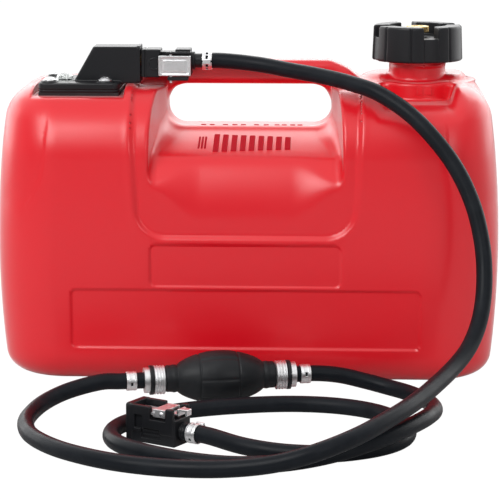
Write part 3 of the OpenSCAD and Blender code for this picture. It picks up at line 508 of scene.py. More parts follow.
# %% Walls of the tank
def tank_walls(p):
    """The body with everything sunk into it, before the handle and the neck."""
    x, y, z = p.T
    d = barrel(x, y, z)
    d = d + collar_depth(x, y, z)
    for field in FIELDS:
        d = d + field_depth(x, y, z, *field)
    d = d + crease_depth(x, y, z)
    d = soft_max(d, *saddle(x, y, z))
    deck = soft_max(round_rect(x - NECK_X - 2, y - 15, 40, 22, 21),
                    np.maximum(z - 242.4, 215 - z), 8)
    d = soft_min(d, deck, 18)
    pocket = soft_max(np.abs(x - NECK_X) - 26 - 0.35 * (z - 226),
                      np.maximum(y + 24, 226 - z), 3)
    d = soft_max(d, -pocket, 3 + 11 * step_up(-y, 38, 67))
    seat = np.maximum(round_rect(x - PICK_X, y - PICK_Y + 60, 37.2, 97.2, 9), 231.5 - z)
    return soft_max(d, -seat, 2.5)


beyond_wall = float(tank_walls(np.array([[0.0, -HALF_D, 110.0]]))[0])
print("the front wall is at y =", round(beyond_wall - HALF_D, 1), "mm at z = 110")

# %% [markdown]
# ## The whole tank
# The grip is a bar with rounded edges whose ends dive into the shoulders, and the neck carries a
# real thread: a ridge whose height rises with the angle. The inside is hollow, because the tank
# is one blown wall, and it is open at the neck and under the pickup unit.


# %% The tank
def neck_with_thread(x, y, z):
    r = np.hypot(x - NECK_X, y)
    turn = np.arctan2(y, x - NECK_X) / (2 * np.pi)
    pitch = 6
    lift = (z - 254 - pitch * turn + pitch / 2) % pitch - pitch / 2
    ridge = 1.3 * np.exp(-(lift / 0.9) ** 2) * step_up(z, 251, 254) * step_up(-z, -268, -265)
    return soft_max(r - 23.2 - ridge, np.maximum(z - 270.7, 230 - z), 1)


def tank_shape(p):
    x, y, z = p.T
    walls = tank_walls(p)
    ax = np.abs(x)
    top, low = 257 - handle_drop(ax), 237 - handle_sink(ax)
    grip = np.maximum(round_rect(y, z - (top + low) / 2, 12.5, (top - low) / 2, 6.5), ax - 96)
    d = soft_min(walls, grip, 7)
    r = np.hypot(x - NECK_X, y)
    boss = soft_max(r - 33, np.maximum(z - 240.5, 204 - z), 2.5)
    d = soft_min(d, boss, 3)
    d = soft_min(d, neck_with_thread(x, y, z), 2.5)
    wall, mouth, well = 3.6, 20.2, 23
    hollow = soft_min(walls + wall, np.maximum(r - mouth, 205 - z), 2)
    under_unit = np.hypot(x - PICK_X, y - PICK_Y) - well
    hollow = np.minimum(hollow, np.maximum(under_unit, 212 - z))
    return np.maximum(d, -hollow)


skin("tank_skin", tank_shape, (-210.3, -98.9, -6.4), (210, 98, 276), 2.0, "red_plastic",
     nodes=["tank_shell"])

# %% [markdown]
# ## Small moulded marks
# Relief of half a millimetre is too fine for the tank's own grid of two millimetres. It could be
# a bump in the material, but that would show no edge from the side. It is grown on a finer grid
# instead, as a thin layer that follows the tank's walls wherever a flat mask says so. The bars
# and dashes are plain shapes, and two small squares stand in front of the neck.


# %% Relief on the walls
def raised(name, mask, low, high, height, step=0.5):
    """A low relief on the tank's skin, where mask(x, y, z) is below zero."""
    def shape(p):
        near = tank_walls(p)
        return soft_max(mask(*p.T), np.maximum(near - height, -near - 0.8), 0.3)
    return skin(name, shape, low, high, step, "red_plastic", rounds=2)


def scoop_marks(x, y, z):
    """A plain ribbed block and a row of short bars on the scoop's floor."""
    best = round_rect(x + 37, y + 46, 4.4, 11, 0.6)
    best = np.maximum(best, 0.5 - np.abs((x + 37) % 2.6 - 1.3))
    for k in range(9):
        best = np.minimum(best, round_rect(x + 25.6 - 7.3 * k, y + 46.5, 2.3, 16.5 - 0.6 * k, 0.5))
    return best


def dashes(x, y, z):
    best = np.full(x.shape, 9.0)
    for at in (-38, -31, -20, -12, -5, 6, 14, 23, 29, 36, 42):
        best = np.minimum(best, round_rect(x - at, y + 11, 2.2, 1.0, 0.4))
    return best


def neck_squares(p):
    return np.minimum(round_box(p, (140.3, -32.9, 234.5), (2.4, 0.6, 3.4), 0.3),
                      round_box(p, (147.2, -32, 234.5), (2.4, 0.6, 3.4), 0.3))


skin("neck_squares", neck_squares, (137, -34.5, 230), (151, -30, 239), 0.4, "red_plastic")
marks = [raised("scoop_bars", scoop_marks, (-46, -66, 170), (38, -27, 206), 0.5),
         raised("crest_dashes", dashes, (-44, -16, 195), (48, -7, 208), 0.5)]

# %% [markdown]
# ## The filler cap
# The real cap has a tall skirt with grip grooves and a crown that two slots cross, so that a bar
# can turn it. The skirt is lower and a little narrower under each slot. It could be a turned body
# with grooves cut by copies of one cutter, but then each cut edge would need a bevel of its own.
# In a formula every cut is soft from the start. Everything repeats every quarter turn, so the
# formula folds the angle and describes one quarter only.


# %% Filler cap
def cap_shape(p):
    x, y, z = p[:, 0] - NECK_X, p[:, 1], p[:, 2]
    r = np.hypot(x, y)
    angle = np.degrees(np.arctan2(y, x)) + 73
    off = (angle + 45) % 90 - 45                  # from the nearest slot
    across = r * np.sin(np.radians(off))
    outer = 37.4 - 1.2 * (z - 257) / 29
    outer = outer - 1.3 * (1 - step_up(np.abs(across), 5.9, 6.9))
    for turn in (-27, 27):
        groove = r * np.sin(np.radians(off - turn))
        outer = outer - 1.0 * np.exp(-(groove / 0.8) ** 2)
    d = soft_max(r - outer, np.maximum(z - 285.9, 257 - z), 2.2)
    inner = soft_max(r - 23.5, 275.9 - z, 1.2)
    d = soft_max(d, -inner, 0.8)
    slot_cut = np.maximum(np.abs(across) - 6.25, 276.5 - z)
    d = soft_max(d, -slot_cut, 1.0)
    under = np.maximum(r - 25.2, z - 272.6)
    ring = np.maximum(np.maximum(27.8 - r, r - 34.2), z - 274.4)
    d = soft_max(d, -np.minimum(under, ring), 0.4)
    return np.maximum(d, -np.maximum(r - 2.6, 270 - z))


skin("cap_skin", cap_shape, (99.5, -39.5, 255), (178.5, 39.5, 288), 0.75, "black_plastic",
     "cap", ["filler_cap"])

# %% [markdown]
# ## The vent knob
# A knurled brass knob in the crown lets air in while the engine draws fuel. Its knurl is 36 soft
# teeth round the rim. They could be cut one by one, but a cosine of the angle taken from the
# radius gives them all. Its own screw and foot reach through the cap, and it moves on its own
# body.


# %% Vent knob
def knob_shape(p):
    x, y, z = p[:, 0] - NECK_X, p[:, 1], p[:, 2]
    r = np.hypot(x, y)
    teeth = 9.3 - 0.45 * (0.5 + 0.5 * np.cos(36 * np.arctan2(y, x))) ** 2
    d = soft_max(r - teeth, np.maximum(z - 284.7, 279.7 - z), 0.7)
    d = soft_max(d, -np.maximum(r - 5.6, 284.2 - z), 0.3)
    d = soft_min(d, np.maximum(r - 4.5, np.maximum(z - 280, 277.1 - z)), 0.4)
    return np.minimum(d, np.maximum(r - 2.5, np.maximum(z - 279, 266.6 - z)))


skin("vent_knob", knob_shape, (128.5, -10.5, 265.5), (149.2, 10.5, 286), 0.4, "brass",
     "vent", ["vent_screw"])

# %% [markdown]
# ## The pickup housing
# One black moulding: a square plate with round pads under the screws, and a hollow elbow that
# leads the fuel to the connector. It could be put together from bevelled boxes, but soft joints
# give the fillets of a moulding at once. The elbow's left side leans by about 30 degrees, which
# is one tilted plane in the formula. A raised rim runs round the elbow's end, and a fine groove
# round the plate.

# %% Pickup housing
SCREWS = [(PICK_X + sx, PICK_Y + sy) for sx in (-24.5, 21) for sy in (-24.8, 25.2)]
LEAN_OUT, LEAN_UP = 17.5, 30.5                # of the elbow's left side
OUTLET_Y, OUTLET_Z = -27, 258                 # axis of the way out to the hose


def housing_shape(p):
    x, y, z = p.T
    u, v = x - PICK_X, y - PICK_Y
    rr = round_rect(u, v, 33.25, 33.25, 6)
    d = soft_max(rr, np.maximum(z - 241.8, 233.6 - z), 1.8)
    groove = np.maximum(np.abs(z - 236.4) - 0.35, -rr - 0.5)
    d = soft_max(d, -groove, 0.3)
    for sx, sy in SCREWS:
        d = soft_min(d, rod(p, (sx, sy, 241.6), 2, 7.4, 1.3, 0.6), 0.6)
    lean = (x + 143.3) - LEAN_OUT * (z - 241) / LEAN_UP
    side = -lean / math.hypot(1, LEAN_OUT / LEAN_UP)
    box = soft_max(soft_max(side, x + 88.2, 2), np.abs(y - OUTLET_Y) - 11.5, 2.2)
    box = soft_max(box, np.maximum(z - 270.2, 240.4 - z), 1.0)
    d = soft_min(d, box, 1.5)
    rim = soft_max(round_rect(y - OUTLET_Y, z - 255.6, 11.9, 15.2, 2.2),
                   np.maximum(x + 88.2, -x - 91), 0.5)
    d = np.minimum(d, rim)
    bore = np.maximum(np.hypot(y - OUTLET_Y, z - OUTLET_Z) - 5.1, -x - 125)
    dial = np.maximum(np.hypot(x + 151.5, y - OUTLET_Y) - 6.4, 238.6 - z)
    return soft_max(d, -np.minimum(bore, dial), 0.3)


skin("housing_skin", housing_shape, (-173, -56.5, 232), (-85, 15.5, 273.5), 0.7,
     "black_plastic", nodes=["pickup_housing"])

# %% [markdown]
# ## Screws with cross slots
# Four pan heads hold the unit down. A pan head is a slice of a ball on a short drum, and its
# cross slot is two thin boxes cut at a right angle. One screw could be made and copied, but each
# slot should stand at another angle, because real screws are hardly ever stopped at the same
# turn. So one formula in a loop makes all four.


# %% Screws
def screws_shape(p):
    d = np.full(len(p), 99.0)
    for k, (sx, sy) in enumerate(SCREWS):
        q = p - np.array([sx, sy, 242.9])
        r = np.hypot(q[:, 0], q[:, 1])
        dome = np.maximum(np.linalg.norm(q - np.array([0, 0, -3.6]), axis=1) - 6.9,
                          np.maximum(r - 5.4, 0.3 - q[:, 2]))
        turn = 0.5 + 1.1 * k
        u = q[:, 0] * math.cos(turn) + q[:, 1] * math.sin(turn)
        v = q[:, 1] * math.cos(turn) - q[:, 0] * math.sin(turn)
        cross = np.minimum(np.maximum(np.abs(u) - 2.9, np.abs(v) - 0.55),
                           np.maximum(np.abs(v) - 2.9, np.abs(u) - 0.55))
        cross = np.maximum(cross, 1.6 - q[:, 2])
        head = soft_max(soft_min(dome, np.maximum(r - 5.4, np.abs(q[:, 2] - 0.5) - 0.6), 0.4),
                        -cross, 0.2)
        shank = np.maximum(r - 2.2, np.maximum(q[:, 2] - 0.6, -18 - q[:, 2]))
        d = np.minimum(d, np.minimum(head, shank))
    return d


skin("screws_skin", screws_shape, (-168.5, -52, 224), (-110, 11.5, 248), 0.45, "steel",
     nodes=["base_screws"])

# %% [markdown]
# ## The tank connector
# The hose plugs on to the elbow with a stepped black moulding: a wide collar with a thin slot, a
# body, a bridge with a thumb block along the top, and a neck for the hose. Separate bevelled
# boxes would do from afar, but close up their seams would show. Rounded boxes that are joined
# with little softness give the crisp look of one moulding. Two ledges stand out at the front and
# hold the latch's pin.

# %% Tank connector
LATCH_PIN_X, LATCH_PIN_Y, PIN_HOLE = -63, -39.9, 1.25


def pin_hole(x, y):
    return np.hypot(x - LATCH_PIN_X, y - LATCH_PIN_Y) - PIN_HOLE


def tank_connector_shape(p):
    x, y, z = p.T
    d = round_box(p, (-79.6, -27, 256.5), (8, 10.5, 11.5), 1.2)
    ring = np.abs(np.hypot(x + 76.6, z - 256) - 4.6) - 0.5
    d = soft_min(d, np.maximum(ring, np.abs(y + 37.2) - 0.6), 0.3)
    thin_slot = np.maximum(np.abs(x + 84.1) - 0.6, np.minimum(y + 36.9, -y - 30))
    d = soft_max(d, -thin_slot, 0.3)
    d = soft_min(d, round_box(p, (-59.4, -27, 254.6), (12.9, 10.5, 8.25), 0.9), 0.8)
    bridge = round_box(p, (-62, -27, 263.6), (10.6, 6.5, 2.2), 0.6)
    thumb_block = round_box(p, (-53.3, -28, 265.5), (6.2, 9.5, 2.6), 0.8)
    d = soft_min(soft_min(d, bridge, 0.6), thumb_block, 0.6)
    for centre, half in (((-56.8, -36.4, 265.4), (10.2, 5.5, 1.0)),
                         ((-57.2, -36.4, 244.4), (8.4, 5.5, 1.5))):
        d = soft_min(d, round_box(p, centre, half, 0.4), 0.4)
    d = soft_min(d, rod(p, (-42.3, OUTLET_Y, OUTLET_Z), 0, 5.9, 4.1, 0.4), 0.8)
    d = soft_min(d, rod(p, (-45.4, OUTLET_Y, OUTLET_Z), 0, 7.4, 1.4, 0.4), 0.3)
    bore = np.hypot(y - OUTLET_Y, z - OUTLET_Z)
    d = np.maximum(d, -np.maximum(bore - 5.3, x + 65.2))
    return np.maximum(d, -np.maximum(pin_hole(x, y), 0))


skin("tank_connector_skin", tank_connector_shape, (-88, -44, 239), (-36.5, -15, 271), 0.5,
     "black_plastic", nodes=["tank_connector"])

# %% [markdown]
# ## The tank connector's latch
# Rocked on its pin, this steel plate frees the connector. It is a flat plate with a plain pressed
# frame and two ears on the pin. The press mark is half a millimetre deep, so it is real geometry:
# on bright metal a bend of the surface is seen by what it reflects.


# %% Tank latch
def tank_latch_shape(p):
    x, y, z = p.T
    flat = round_rect(x + 59.7, z - 255, 13.25, 8.25, 0.9)
    frame_line = np.abs(round_rect(x + 59.7, z - 255, 10.6, 5.7, 1.0)) - 0.2
    front = -y - 42.9 + 0.5 * np.exp(-(frame_line / 0.9) ** 2) + 0.2 * step_up(-flat, 2.4, 4)
    d = soft_max(flat, np.maximum(front, y + 41.4), 0.5)
    for ear_z in (262.4, 247.5):
        d = soft_min(d, round_box(p, (LATCH_PIN_X, -39.7, ear_z), (2.4, 1.9, 0.7), 0.3), 0.4)
    return np.maximum(d, -pin_hole(x, y))


skin("tank_latch_skin", tank_latch_shape, (-75, -44.5, 245), (-44.5, -36.5, 264.6), 0.4, "steel",
     "tank_latch", ["tank_latch"])

# %% [markdown]
# ## The engine connector
# At the free end sits a black moulding with an upright flange, sunk fields with ribs on its
# sides, and two tall cheeks with a notch for the latch. It lies turned on the floor. It could be
# described turned as well, but straight boxes are easier to place and to read, so it lies along
# +X and `SOCKET` turns the finished skin into place.

# %% Engine connector
SOCKET = Matrix.Translation(SOCKET_AT.tolist()) @ Matrix.Rotation(SOCKET_TURN, 4, "Z")
ROCKER_X, ROCKER_Z = 22, 23.6


def rocker_hole(x, z):
    return np.hypot(x - ROCKER_X, z - ROCKER_Z) - PIN_HOLE


def engine_connector_shape(p):
    x, y, z = p.T
    d = round_box(p, (1.6, 0, 14.6), (2.6, 12.4, 14.6), 1.0)
    d = soft_max(d, round_rect(y, z - 14.6, 12.4, 14.6, 3), 0.5)
    body = round_box(p, (21.5, 0, 10.5), (20, 10.8, 10.5), 1.6)
    for s in (-1, 1):
        cheek = round_box(p, (21.5, s * 10, 18.5), (18.8, 1.9, 10), 0.9)
        body = soft_min(body, cheek, 0.6)
    notch = np.maximum(round_rect(x - 27.2, z - 26, 6.9, 7.4, 1.2), 19 - z)
    body = soft_max(body, -notch, 0.5)
    ay = 11.9 - np.abs(y)                         # depth below the cheeks' outer faces
    for cx, cz, hx, hz in ((10, 16, 3.4, 5), (20.5, 8, 8.6, 4)):
        field = np.maximum(round_rect(x - cx, z - cz, hx, hz, 0.8), ay - 2.2)
        body = soft_max(body, -field, 0.5)
    for cz in (6.6, 9.6):
        rib = np.maximum(round_rect(x - 20.5, z - cz, 7, 0.5, 0.3), ay - 2.4)
        body = soft_min(body, np.maximum(rib, 1.2 - ay), 0.3)
    d = soft_min(d, body, 0.8)
    d = soft_min(d, rod(p, (42, 0, SOCKET_AXIS_Z), 0, 5.9, 4, 0.4), 0.6)
    for cx, r in ((40.6, 8.4), (43.3, 7.0)):
        d = soft_min(d, rod(p, (cx, 0, SOCKET_AXIS_Z), 0, r, 0.8, 0.3), 0.3)
    bore = np.hypot(y, z - SOCKET_AXIS_Z)
    d = soft_max(d, -np.maximum(bore - 5.2, x - 19), 0.5)
    return np.maximum(d, -rocker_hole(x, z))


skin("engine_connector_skin", engine_connector_shape, (-2.5, -14, -1.5), (48, 14, 31), 0.5,
     "black_plastic", nodes=["engine_connector"], place=SOCKET)

# %% [markdown]
# ## The engine connector's latch
# A rocking strip of spring steel lies between the cheeks. It turns on a rolled barrel, its end
# steps up and turns down into a hook, and a flap with a rivet hangs in the notch on each side.
# Thin boxes joined softly look like one bent sheet, because the fillets stand for its bends.


# %% Engine latch
def engine_latch_shape(p):
    x, y, z = p.T
    d = round_box(p, (23, 0, ROCKER_Z), (18, 5, 0.75), 0.3)
    d = soft_min(d, round_box(p, (40.6, 0, 25.4), (0.75, 5, 2.5), 0.3), 0.4)
    d = soft_min(d, round_box(p, (43.6, 0, 27), (3.6, 3.2, 0.75), 0.3), 0.4)
    d = soft_min(d, rod(p, (ROCKER_X, 0, ROCKER_Z), 1, 2.3, 6, 0.3), 0.6)
    d = soft_min(d, round_box(p, (46.6, 0, 25.2), (0.7, 3.2, 2.2), 0.3), 0.5)
    d = soft_min(d, round_box(p, (27.2, 0, 26.2), (5, 9.4, 0.75), 0.3), 0.5)
    for s in (-1, 1):
        d = soft_min(d, round_box(p, (27.2, s * 9.4, 23.9), (5.4, 0.65, 3.1), 0.3), 0.5)
        rivet = np.linalg.norm((p - np.array([29.6, s * 9.8, 23.6])) * [1, 1.4, 1], axis=1) - 1.8
        d = soft_min(d, rivet, 0.25)
    d = soft_min(d, round_box(p, (27.2, 0, 25), (1.2, 5, 1.6), 0.3), 0.4)
    return np.maximum(d, -rocker_hole(x, z))


skin("engine_latch_skin", engine_latch_shape, (4, -12.5, 19), (49, 12.5, 29.5), 0.4, "steel",
     "engine_latch", ["engine_latch"], place=SOCKET)

# %% [markdown]
# ## Hose clamps
# Every clamp is the same pressed steel band: two beads, a few windows and an ear that is pinched
# to tighten it. A bent strip would give the band, but not its beads and its ear in one piece. So
# all four come from one formula, and a matrix lays each band round its hose and turns its ear to
# another side. The distance round the band is its angle times its radius, so the windows are
# drawn as if the band were flat.

# %% Clamps
BAND_R, BAND_W = 7.0, 8


def clamp_shape(p):
    x, y, z = p.T
    r = np.hypot(x, y)
    angle = np.degrees(np.arctan2(y, x))
    bead = 0.16 * (np.exp(-((z - 1.9) / 0.55) ** 2) + np.exp(-((z - 6.1) / 0.55) ** 2))
    middle = z - BAND_W / 2
    band = soft_max(np.abs(r - BAND_R) - 0.5 - bead, np.abs(middle) - BAND_W / 2, 0.35)
    for at in (28, -28, 62, -62, 180):
        along = np.radians((angle - at + 180) % 360 - 180) * BAND_R
        band = soft_max(band, -round_rect(along, middle, 1.5, 0.9, 0.4), 0.3)
    waist = 1.5 + 0.7 * step_up(x, 7.8, 9.4)
    loop = round_rect(y, x - 8.4, waist, 2.1, 0.9)
    ear = soft_max(np.abs(loop + 0.45) - 0.45, np.abs(middle) - 3.2, 0.3)
    ear = np.maximum(ear, 6.7 - x)
    gap = np.maximum(np.abs(y) - 0.7, np.maximum(6 - x, x - 8))
    return soft_max(soft_min(band, ear, 0.4), -gap, 0.2)


def clamp_place(at, direction, turn):
    """Band along +X of the direction's frame, ear turned about it."""
    lay = Matrix(((0, 0, 1, 0), (0, 1, 0, 0), (-1, 0, 0, 0), (0, 0, 0, 1)))
    return (Matrix.Translation(at) @ Matrix.Rotation(direction, 4, "Z") @ lay
            @ Matrix.Rotation(math.radians(turn), 4, "Z"))


for name, at, direction, turn in (
        ("tank_clamp", (-37.9, -27, 258), 0, -90),
        ("inlet_clamp", on_bulb(-14), BULB_TURN, 100),
        ("outlet_clamp", on_bulb(BULB_RUN + 4), BULB_TURN, 80),
        ("engine_clamp", on_socket(48), SOCKET_TURN, 120)):
    skin(name + "_skin", clamp_shape, (-8.5, -8.5, -1), (11.5, 8.5, 9), 0.35, "steel",
         nodes=[name], place=clamp_place(at, direction, turn))

# %% [markdown]
# ## The primer bulb
# The rubber bulb is squeezed by hand to fill the hose. It is round about its axis but for fine
# moulded lines, so it is turned from its outline as on a lathe rather than grown from a formula:
# a turned mesh has even rows that follow the lines. Two rings and seven lines along the middle
# mark its squeeze panels.

# %% Primer bulb
BULB_LENGTH, BULB_NECK_R, BULB_PANELS = 106.3, 9.2, 7


def bulb_radius(t, a):
    """Radius at share t of the bulb's length and angle a, with the moulded lines."""
    x = t * BULB_LENGTH
    s = np.clip((x - 18.4) / 69.5, 0, 1)
    r = BULB_NECK_R + 11.6 * np.sin(np.pi * s) ** 0.62
    tail = step_up(x, 9.6, 10.6) * step_up(-x, -96.7, -95.7)
    r = np.maximum(r, BULB_NECK_R + tail * (1.3 + 0.5 * np.exp(-((x - 16.5) / 1.8) ** 2)
                                            + 0.5 * np.exp(-((x - 89.8) / 1.8) ** 2)))
    line = np.exp(-((x - 36.3) / 0.7) ** 2) + np.exp(-((x - 66.8) / 0.7) ** 2)
    middle = step_up(x, 36, 37.5) * step_up(-x, -67, -65.5)
    for k in range(BULB_PANELS):
        off = (a - math.radians(20 + 360 / BULB_PANELS * k) + np.pi) % (2 * np.pi) - np.pi
        line = line + middle * np.exp(-(off * 20 / 0.8) ** 2)
    return r - 0.7 * np.minimum(line, 1)


def turned(name, n_along, n_round, radius, length, place, inner, slot, nodes):
    t = np.linspace(0, 1, n_along)
    a = np.linspace(0, 2 * np.pi, n_round, endpoint=False)
    tt, aa = np.meshgrid(t, a, indexing="ij")
    r = radius(tt, aa)
    inside = np.minimum(inner, r)
    out = np.stack([tt * length, r * np.cos(aa), r * np.sin(aa)], -1)
    back = np.stack([tt * length, inside * np.cos(aa), inside * np.sin(aa)], -1)
    rows = np.concatenate([out, back[::-1]])
    points = rows.reshape(-1, 3)
    m = len(rows)
    faces = [(i * n_round + k, ((i + 1) % m) * n_round + k,
              ((i + 1) % m) * n_round + (k + 1) % n_round, i * n_round + (k + 1) % n_round)
             for i in range(m) for k in range(n_round)]
    turn = np.array(place.to_3x3())
    return piece(name, points @ turn.T + np.array(place.translation), faces, slot, nodes=nodes)


BULB = Matrix.Translation((0, 0, 0.6)) @ Matrix.Translation(on_bulb(7)) \
    @ Matrix.Rotation(BULB_TURN, 4, "Z")
turned("bulb_skin", 241, 144, bulb_radius, BULB_LENGTH, BULB, 6.1, "bulb_rubber",
       ["primer_bulb"])

# %% [markdown]
# ## What is on each hose
# Each hose is handed over with its start, its length and the pieces that it carries, and the
# count of those pieces is printed; nothing else is done with them. That comes this late because
# some of those pieces are skins that have only just been made.


# %% Counting the pieces on each hose
def declare(laid, *names):
    thing, start, length = laid
    print(thing.name, "carries", len(names), "pieces")


declare(tank_line, "inlet_clamp_skin", "inlet_ring", "inlet_valve", "inlet_flap",
        "inlet_ferrule", "bulb_skin", "outlet_ferrule", "outlet_flap", "outlet_valve",
        "outlet_ring")
declare(engine_line, "outlet_clamp_skin", "engine_clamp_skin", "engine_barb",
        "engine_connector_skin", "socket_seal", "check_ball", "engine_latch_skin",
        "engine_latch_pin")

# %% [markdown]
# ## Building finishes from nodes
# No real surface is one flat colour: plastic is mottled and scuffed, rubber is dusty, pressed
# metal is brushed and tarnished. Painted images could show that, but noise nodes need no files
# and fit any shape. What several materials share is a node group with named inputs, so that one
# recipe gives many finishes. The next helpers keep the recipes short: `put` adds a node, `feed`
# links or sets an input, `effect` starts a group, `add` does sums and other arithmetic, `blend`
# mixes colours and `spread` maps a range softly.


# %% Adding nodes
def put(tree, kind, wires=None, **values):
    """Add a node; values set its properties or its inputs, wires link its inputs."""
    made = tree.nodes.new(kind)
    for key, value in values.items():
        name = key.replace("_", " ")
        if hasattr(made, key):
            setattr(made, key, value)
        else:
            made.inputs[name if name in made.inputs else key].default_value = value
    for key, source in (wires or {}).items():
        tree.links.new(source, made.inputs[key])
    return made


def feed(tree, socket, value):
    """Link the value if it is an output of a node, or else set it."""
    if isinstance(value, (int, float, tuple)):
        socket.default_value = value
    else:
        tree.links.new(value, socket)


def effect(name, inputs, outputs):
    tree = bpy.data.node_groups.new(name, "ShaderNodeTree")
    for label, value in inputs.items():
        kind = "NodeSocketColor" if isinstance(value, tuple) else "NodeSocketFloat"
        tree.interface.new_socket(label, in_out="INPUT", socket_type=kind).default_value = value
    for label in outputs:
        kind = "NodeSocketColor" if label == "Color" else "NodeSocketFloat"
        tree.interface.new_socket(label, in_out="OUTPUT", socket_type=kind)
    return tree, tree.nodes.new("NodeGroupInput").outputs, tree.nodes.new("NodeGroupOutput").inputs


OUTPUTS = ["Color", "Roughness", "Height"]
print("every group gives", OUTPUTS)


# %% Sums, mixes and ranges
def spread(tree, source, low, high, to_low, to_high):
    made = put(tree, "ShaderNodeMapRange", {"Value": source}, interpolation_type="SMOOTHSTEP")
    for key, value in (("From Min", low), ("From Max", high), ("To Min", to_low),
                       ("To Max", to_high)):
        feed(tree, made.inputs[key], value)
    return made.outputs["Result"]


def blend(tree, factor, a, b):
    made = tree.nodes.new("ShaderNodeMix")
    made.data_type = "RGBA"
    for key, value in ((0, factor), (6, a), (7, b)):
        feed(tree, made.inputs[key], value)
    return made.outputs[2]


def add(tree, a, b, how="ADD"):
    made = tree.nodes.new("ShaderNodeMath")
    made.operation = how
    for key, value in enumerate((a, b)):
        feed(tree, made.inputs[key], value)
    return made.outputs[0]


# %% [markdown]
# ## Moulded plastic
# Blown and moulded plastic has a slightly cloudy colour, a fine grain from the mould and pale
# scuffs where it has rubbed. The scuffs are a noise that is stretched into hairs and let through
# only in patches. They also make the surface rougher and cut into it a little.

# %% Moulded plastic
tree, given, out = effect(
    "moulded plastic",
    {"Color": (0.5, 0.5, 0.5, 1), "Worn Color": (0.6, 0.6, 0.6, 1), "Roughness": 0.4,
     "Grain Scale": 700.0, "Grain": 1.0, "Scuffs": 0.3}, OUTPUTS)
spot = put(tree, "ShaderNodeTexCoord").outputs["Object"]
mottle = put(tree, "ShaderNodeTexNoise", {"Vector": spot}, Scale=9.0, Detail=3.0).outputs[0]
grain = put(tree, "ShaderNodeTexNoise", {"Vector": spot, "Scale": given["Grain Scale"]},
            Detail=4.0, Roughness=0.6).outputs[0]
stretch = put(tree, "ShaderNodeMapping", {"Vector": spot}, Scale=(1, 6, 14))
hair = put(tree, "ShaderNodeTexNoise", {"Vector": stretch.outputs[0]}, Scale=60.0, Detail=6.0,
           Roughness=0.75).outputs[0]
hair = spread(tree, hair, 0.62, 0.78, 0.0, 1.0)
patch = put(tree, "ShaderNodeTexNoise", {"Vector": spot}, Scale=22.0, Detail=2.0).outputs[0]
scuff = add(tree, add(tree, hair, spread(tree, patch, 0.45, 0.7, 0, 1), "MULTIPLY"),
            given["Scuffs"], "MULTIPLY")
print("the masks of", tree.name, "are cloudiness, grain and scuffs")

# %% [markdown]
# ### What the plastic gives out
# The clouds shift the colour a little towards the worn one and the scuffs shift it further. Both
# also change the roughness, because worn plastic is duller. The height is the grain, with the
# scuffs taken off it as scratches.

# %% What the plastic gives out
colour = blend(tree, spread(tree, mottle, 0.3, 0.7, 0.0, 0.16), given["Color"],
               given["Worn Color"])
colour = blend(tree, scuff, colour, given["Worn Color"])
tree.links.new(colour, out["Color"])
rough = add(tree, given["Roughness"], spread(tree, mottle, 0.3, 0.7, -0.03, 0.05))
tree.links.new(add(tree, rough, add(tree, scuff, 0.25, "MULTIPLY")), out["Roughness"])
tree.links.new(add(tree, add(tree, grain, given["Grain"], "MULTIPLY"),
                   add(tree, scuff, -0.4, "MULTIPLY")), out["Height"])
PLASTIC = tree
print(PLASTIC.name, "has", len(PLASTIC.nodes), "nodes")

# %% [markdown]
# ## Rubber
# Hose and bulb rubber is nearly black with a bloom of dust in clouds. It could be one flat black,
# but that would look like a hole in the picture, so a cloudy mask lets some dust through. The
# height is a very fine noise with small pits, from the distance to scattered cell centres.

# %% Rubber
tree, given, out = effect(
    "rubber", {"Color": (0.02, 0.02, 0.02, 1), "Dust Color": (0.1, 0.1, 0.1, 1),
               "Roughness": 0.45, "Dust": 0.3}, OUTPUTS)
spot = put(tree, "ShaderNodeTexCoord").outputs["Object"]
fine = put(tree, "ShaderNodeTexNoise", {"Vector": spot}, Scale=1100.0, Detail=3.0).outputs[0]
cloud = put(tree, "ShaderNodeTexNoise", {"Vector": spot}, Scale=34.0, Detail=5.0,
            Roughness=0.62).outputs[0]
specks = put(tree, "ShaderNodeTexVoronoi", {"Vector": spot}, Scale=420.0).outputs["Distance"]
dusty = add(tree, spread(tree, cloud, 0.42, 0.72, 0, 1), given["Dust"], "MULTIPLY")
tree.links.new(blend(tree, dusty, given["Color"], given["Dust Color"]), out["Color"])
tree.links.new(add(tree, given["Roughness"], spread(tree, cloud, 0.3, 0.7, -0.05, 0.1)),
               out["Roughness"])
tree.links.new(add(tree, fine, spread(tree, specks, 0, 0.12, -0.5, 0)), out["Height"])
RUBBER = tree
print(RUBBER.name, "has", len(RUBBER.nodes), "nodes")

# %% [markdown]
# ## Pressed metal
# Steel bands and the brass knob are rolled sheet or turned bar: the brushing is a noise that is
# squeezed along one direction, and tarnish lies in small dull stains that are also rougher.
# Single scratches could be modelled, but from this far only their roughness is seen.

# %% Pressed metal
tree, given, out = effect(
    "pressed metal", {"Color": (0.6, 0.6, 0.6, 1), "Tarnish Color": (0.3, 0.28, 0.25, 1),
                      "Roughness": 0.25, "Tarnish": 0.4}, OUTPUTS)
spot = put(tree, "ShaderNodeTexCoord").outputs["Object"]
stretch = put(tree, "ShaderNodeMapping", {"Vector": spot}, Scale=(1, 1, 9))
brush = put(tree, "ShaderNodeTexNoise", {"Vector": stretch.outputs[0]}, Scale=520.0, Detail=4.0,
            Roughness=0.7).outputs[0]
stain = put(tree, "ShaderNodeTexNoise", {"Vector": spot}, Scale=150.0, Detail=5.0).outputs[0]
stained = add(tree, spread(tree, stain, 0.5, 0.75, 0, 1), given["Tarnish"], "MULTIPLY")
tree.links.new(blend(tree, stained, given["Color"], given["Tarnish Color"]), out["Color"])
tree.links.new(add(tree, add(tree, given["Roughness"], spread(tree, brush, 0.3, 0.7, -0.05, 0.1)),
                   add(tree, stained, 0.3, "MULTIPLY")), out["Roughness"])
tree.links.new(brush, out["Height"])
METAL = tree
print(METAL.name, "has", len(METAL.nodes), "nodes")

